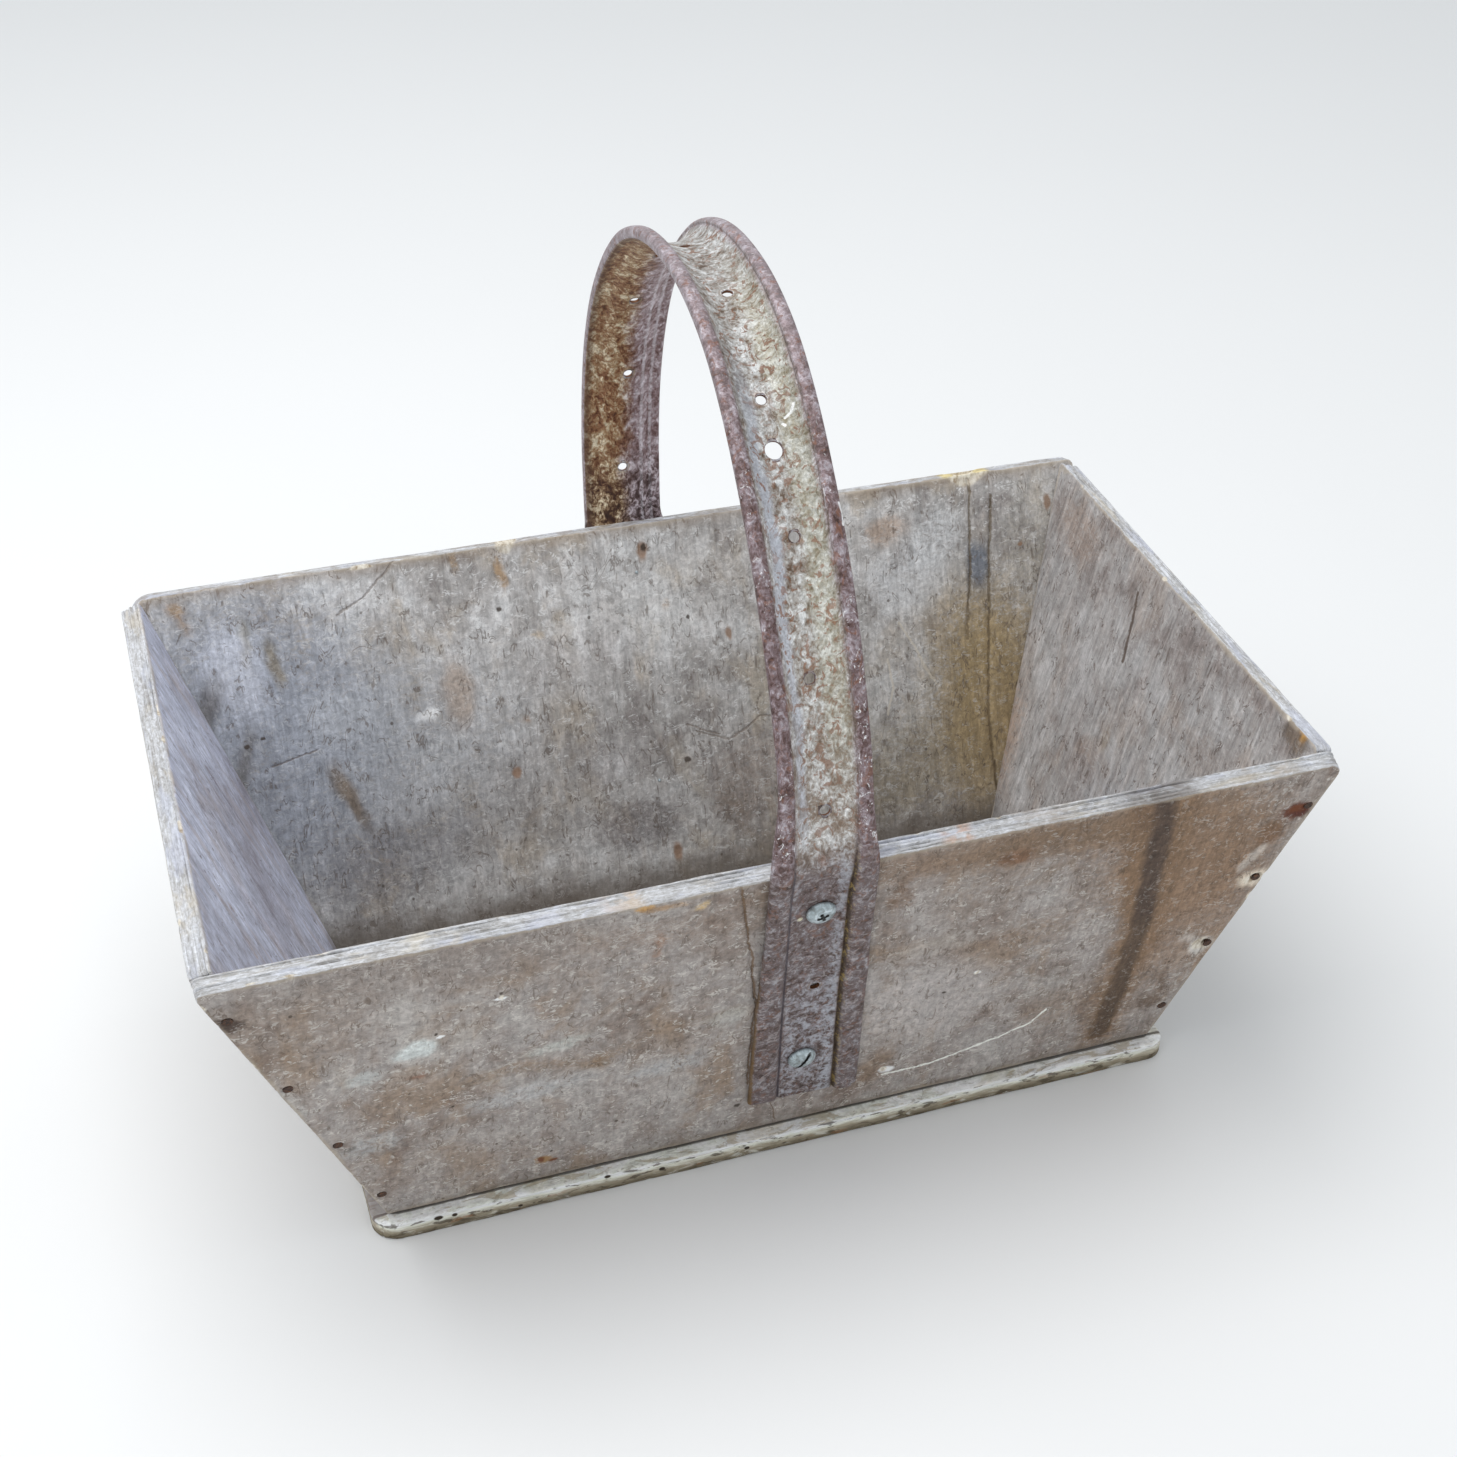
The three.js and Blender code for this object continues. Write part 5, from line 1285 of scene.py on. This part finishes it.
    # hub side: yellow-brown to the left, purple-grey to the right
    kh = 0.62
    hy = M.ramp(mot, [(0.38, rgb((66, 40, 28), kh)), (0.45, rgb((114, 76, 52), kh)), (0.52, rgb((146, 120, 90), kh)), (0.60, rgb((196, 186, 164), kh))])
    hp = M.ramp(mot, [(0.38, rgb((74, 50, 48), kh)), (0.45, rgb((112, 90, 90), kh)), (0.52, rgb((142, 126, 130), kh)), (0.61, rgb((186, 178, 184), kh))])
    hc = M.mix(M.r(M.mad(M.sub(n1, 0.5), 16.0, M.mad(M.sub(n3, 0.5), 14.0, u)), -5.0, 5.0), hy, hp)
    # painted highlight: pale lines along the two ridges of the hub side
    ridge_highlight = M.r(M.mn(M.f("ABSOLUTE", M.sub(u, 8.6)), M.f("ABSOLUTE", M.sub(u, 13.6))), 1.3, 0.3)
    hc = M.mix(M.mul(ridge_highlight, M.r(n2, 0.35, 0.6, 0.2, 0.75)), hc, rgb((184, 178, 184), kh))
    # painted shade: the hub side darkened where the back leg meets the back board
    hub_shade_low = M.r(M.mad(M.sub(n3, 0.5), 30.0, s_), LEN - 215, LEN - 172)
    hc = M.mix(M.mul(M.mul(hub_shade_low, M.r(mot, 0.58, 0.44)), 0.8), hc, rgb((46, 34, 32), k))
    # painted shade: the hub side darkened under the arch and on towards the front end, where it faces down
    hub_shade_under_arch = M.mul(M.r(s_, LEN - 350, LEN - 430), 0.86)
    hc = M.mix(M.mul(hub_shade_under_arch, M.r(mot, 0.60, 0.46, 0.6, 1.0)), hc, rgb((74, 56, 50), kh))
    hedge = M.mul(M.r(M.mad(M.sub(n2, 0.5), 4.0, u), -14.0, -18.0), 0.7)
    hc = M.mix(hedge, hc, rgb((78, 58, 48), kh))
    col = M.mix(M.r(hub, 0.45, 0.55), col, hc)
    # holes: the cut walls carry no band coordinates, so they stay rust
    inhole = M.r(M.v("LENGTH", R), 0.5, 0.0)
    col = M.mix(inhole, col, rgb((96, 60, 36), k))
    for n, s0 in enumerate(stations):
        if n in screw_ids:
            continue
        d = M.v("LENGTH", M.v("MULTIPLY", M.v("SUBTRACT", R, (0.9 if n % 2 else -0.9, 0, s0)), (1, 0, 1)))
        ring = M.r(M.f("ABSOLUTE", M.sub(d, 2.9)), 0.9, 0.2)
        col = M.mix(M.mul(ring, 0.45), col, rgb((176, 160, 124) if n > ns / 2 else (110, 86, 62), k))
    # scratches
    for pts, w, amt in (([(6.4, 350.2), (8.8, 351.6), (10.4, 354.6)], 0.75, 0.75), ([(5.0, 348.0), (5.8, 347.4)], 0.8, 0.75), ([(18.2, 314), (19.0, 310.0), (18.4, 306)], 0.8, 0.85)):
        d = M.seg(M.node("ShaderNodeCombineXYZ", {0: u, 1: s_}).outputs[0], pts)
        col = M.mix(M.mul(M.mul(M.r(d, w, w * 0.3), amt), M.r(hub, 0.5, 0.4)), col, rgb((222, 224, 224), k))
    d = M.v("LENGTH", M.v("MULTIPLY", M.v("SUBTRACT", R, (-8.6, 0, stations[2] - 2.6)), (1, 0, 1)))
    col = M.mix(M.mul(M.mul(M.r(d, 1.5, 0.8), 0.85), M.r(hub, 0.5, 0.4)), col, rgb((206, 200, 176), k))
    # a dark ring around each front and back screw, just outside its head
    for n in screw_ids:
        d = M.v("LENGTH", M.v("MULTIPLY", M.v("SUBTRACT", R, (-0.6, 0, stations[n])), (1, 0, 1)))
        col = M.mix(M.mul(M.r(d, 8.6, 6.4), 0.45), col, rgb((58, 46, 42), k))
    fine = M.noise(P, (1.1, 1.1, 1.4), 3, 0.6, 0.6, (81, 1, 1))
    col = M.gray(col, M.mad(M.sub(fine, 0.5), M.mixf(ends, 1.25, 0.95), 1.0))
    rough = M.mad(M.sub(n2, 0.5), 0.5, M.mixf(rustm, 0.50, 0.72))
    metal = M.mul(M.sub(1.0, M.r(n4, 0.50, 0.62)), 0.35)
    h = M.mad(M.sub(n1, 0.5), 0.55, M.mad(M.sub(n4, 0.5), 0.5, M.mul(M.sub(fine, 0.5), 0.12)))
    return M.finish(col, rough, h, metallic=metal, strength=0.8, specular=0.45)


def screw_material():
    M = Mat("screw_zinc_dull")
    P = M.v("SCALE", M.node("ShaderNodeTexCoord").outputs["Object"], scale=1000.0)
    n1 = M.noise(P, 3.0, 4, 0.62, 0.7)
    n2 = M.noise(P, 0.9, 4, 0.62, 0.7, (5, 5, 5))
    col = M.ramp(n1, [(0.35, rgb((130, 136, 136), 0.85)), (0.5, rgb((164, 176, 180), 0.85)), (0.65, rgb((196, 206, 210), 0.85))])
    col = M.mix(M.mul(M.r(n2, 0.58, 0.68), 0.5), col, rgb((120, 104, 84), 0.9))
    # painted shade and dirt in the hollows: concave spots darkened by pointiness
    hollow_shade_and_dirt = M.node("ShaderNodeNewGeometry").outputs["Pointiness"]
    col = M.mix(M.mul(M.r(hollow_shade_and_dirt, 0.47, 0.40), 0.85), col, rgb((70, 62, 54), 0.9))
    # painted shade: the slot walls, where hd is 0, are painted near black
    col = M.mix(M.mul(M.r(M.attr("hd", "Fac"), 0.98, 0.55), 0.9), col, rgb((48, 44, 40), 0.9))
    rough = M.mad(n2, 0.35, 0.28)
    return M.finish(col, rough, M.mul(n2, 0.1), metallic=0.55, strength=0.6, specular=0.5)


def nail_material():
    M = Mat("nail_rusted")
    P = M.v("SCALE", M.node("ShaderNodeTexCoord").outputs["Object"], scale=1000.0)
    n1 = M.noise(P, 1.6, 4, 0.65, 0.8)
    col = M.ramp(n1, [(0.35, rgb((44, 36, 34))), (0.5, rgb((74, 54, 44))), (0.65, rgb((112, 78, 56)))])
    return M.finish(col, M.mad(n1, 0.3, 0.55), M.mul(n1, 0.3), metallic=0.25, strength=0.8, specular=0.4)


m_front = board_materials("front_ply_weathered", K_FRONT, K_BACK, FRONT, BACK, EDGE, (0, 0, 0), paint_front, None, edge_front,
                         dict(strokes=0.5, fine=1.2, fleck=0.85, hair=0.55, long_hair=0.1, warm=0.55), dict(strokes=0.5, fine=0.8, fleck=0.5, hair=0.6, long_hair=0.4))
m_back = board_materials("back_ply_weathered", K_FRONT, K_BACK, BACK_OUT, BACK, EDGE, (130, 40, 0), None, paint_back_in, edge_back,
                        dict(strokes=0.45, fine=0.7, fleck=0.5, hair=0.5, long_hair=0.4), dict(strokes=0.8, fine=1.15, fleck=0.6, hair=0.6, long_hair=0.6, warm=0.55))
m_left = board_materials("left_ply_weathered", K_FRONT, K_LEFT, BACK_OUT, LEFT_IN, EDGE, (260, 90, 0), None, paint_left_in, None,
                        dict(strokes=0.45, fine=0.7, fleck=0.5, hair=0.5, long_hair=0.4), dict(strokes=0.7, fine=0.5, fleck=0.15, hair=0.6, long_hair=0.2, warm=0.25))
m_right = board_materials("right_ply_weathered", K_FRONT, K_RIGHT, BACK_OUT, RIGHT_IN, EDGE, (390, 10, 0), None, paint_right_in, None,
                         dict(strokes=0.45, fine=0.7, fleck=0.5, hair=0.5, long_hair=0.4), dict(strokes=0.9, fine=0.6, fleck=0.4, hair=0.75, long_hair=0.2, warm=0.35))
m_base = lip_material()
m_rim = rim_material()
m_screw = screw_material()
m_nail = nail_material()


def simple(name, color, rough=0.8):
    M = Mat(name)
    n = M.noise(M.node("ShaderNodeTexCoord").outputs["Object"], 0.4, 3, 0.5)
    return M.finish(M.gray(color + (1.0,), M.mad(n, 0.02, 0.99)), rough, None, specular=0.2)


for ob, mat, node, slot in ((front, m_front, "front_board", "front_ply"), (back, m_back, "back_board", "back_ply"),
                            (left, m_left, "left_end_board", "left_ply"), (right, m_right, "right_end_board", "right_ply"),
                            (base, m_base, "base_board", "base_ply"), (handle, m_rim, "rim_handle", "rim_steel")):
    ob.data.materials.clear()
    for m_ in (mat if isinstance(mat, list) else [mat]):
        ob.data.materials.append(m_)
    if isinstance(mat, list):
        # the outer face and the outer half of the sawn edges take the second material
        bl = np.zeros(len(ob.data.vertices) * 3, np.float32)
        ob.data.attributes["bl"].data.foreach_get("vector", bl)
        depth_ = bl.reshape(-1, 3)[:, 2]
        loops = np.zeros(len(ob.data.loops), np.int32)
        ob.data.loops.foreach_get("vertex_index", loops)
        starts = np.zeros(len(ob.data.polygons), np.int32)
        ob.data.polygons.foreach_get("loop_start", starts)
        ob.data.polygons.foreach_set("material_index", (np.add.reduceat(depth_[loops], starts) / 4.0 > 0.0045).astype(np.int32))
    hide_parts(node)
    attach(ob, "root")
for ob, node in screws:
    ob.data.materials.clear()
    ob.data.materials.append(m_screw)
    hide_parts(node)
    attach(ob, "root")
for name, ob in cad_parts.items():
    if name.startswith("nail_"):
        ob.data.materials.clear()
        ob.data.materials.append(m_nail)

# ------------------------------------------------------------------ stage
me = bpy.data.meshes.new("floor")
me.from_pydata([(-6, -6, 0), (6, -6, 0), (6, 6, 0), (-6, 6, 0)], [], [[0, 1, 2, 3]])
floor = bpy.data.objects.new("floor", me)
bpy.context.scene.collection.objects.link(floor)
me.materials.append(simple("floor_paint", (0.82, 0.82, 0.82), 0.9))

world = bpy.data.worlds.new("studio")
world.use_nodes = True
world.node_tree.nodes["Background"].inputs["Color"].default_value = (0.93, 0.97, 1.0, 1)
world.node_tree.nodes["Background"].inputs["Strength"].default_value = 0.75
bpy.context.scene.world = world


def area(name, loc, target, size, power, color=(1, 1, 1)):
    l = bpy.data.lights.new(name, "AREA")
    l.shape = "RECTANGLE"
    l.size, l.size_y = size
    l.energy = power
    l.color = color
    o = bpy.data.objects.new(name, l)
    o.location = loc
    d = Vector(target) - Vector(loc)
    o.rotation_mode = "QUATERNION"
    o.rotation_quaternion = d.to_track_quat("-Z", "Y")
    bpy.context.scene.collection.objects.link(o)


area("key", (-0.5, 0.1, 1.7), (0, 0, 0.1), (1.6, 1.6), 22)

cam = bpy.data.cameras.new("camera")
cam.sensor_fit = "HORIZONTAL"
cam.sensor_width = 36.0
cam.lens = 59.4631
cam.shift_x = -0.14516
cam.shift_y = -0.05451
cam.clip_start, cam.clip_end = 0.05, 60
co = bpy.data.objects.new("camera", cam)
co.rotation_mode = "QUATERNION"
co.location = (-0.24472, -0.87473, 0.77364)
co.rotation_quaternion = Quaternion((0.861217, 0.474287, -0.102362, -0.151258))
bpy.context.scene.collection.objects.link(co)
bpy.context.scene.camera = co
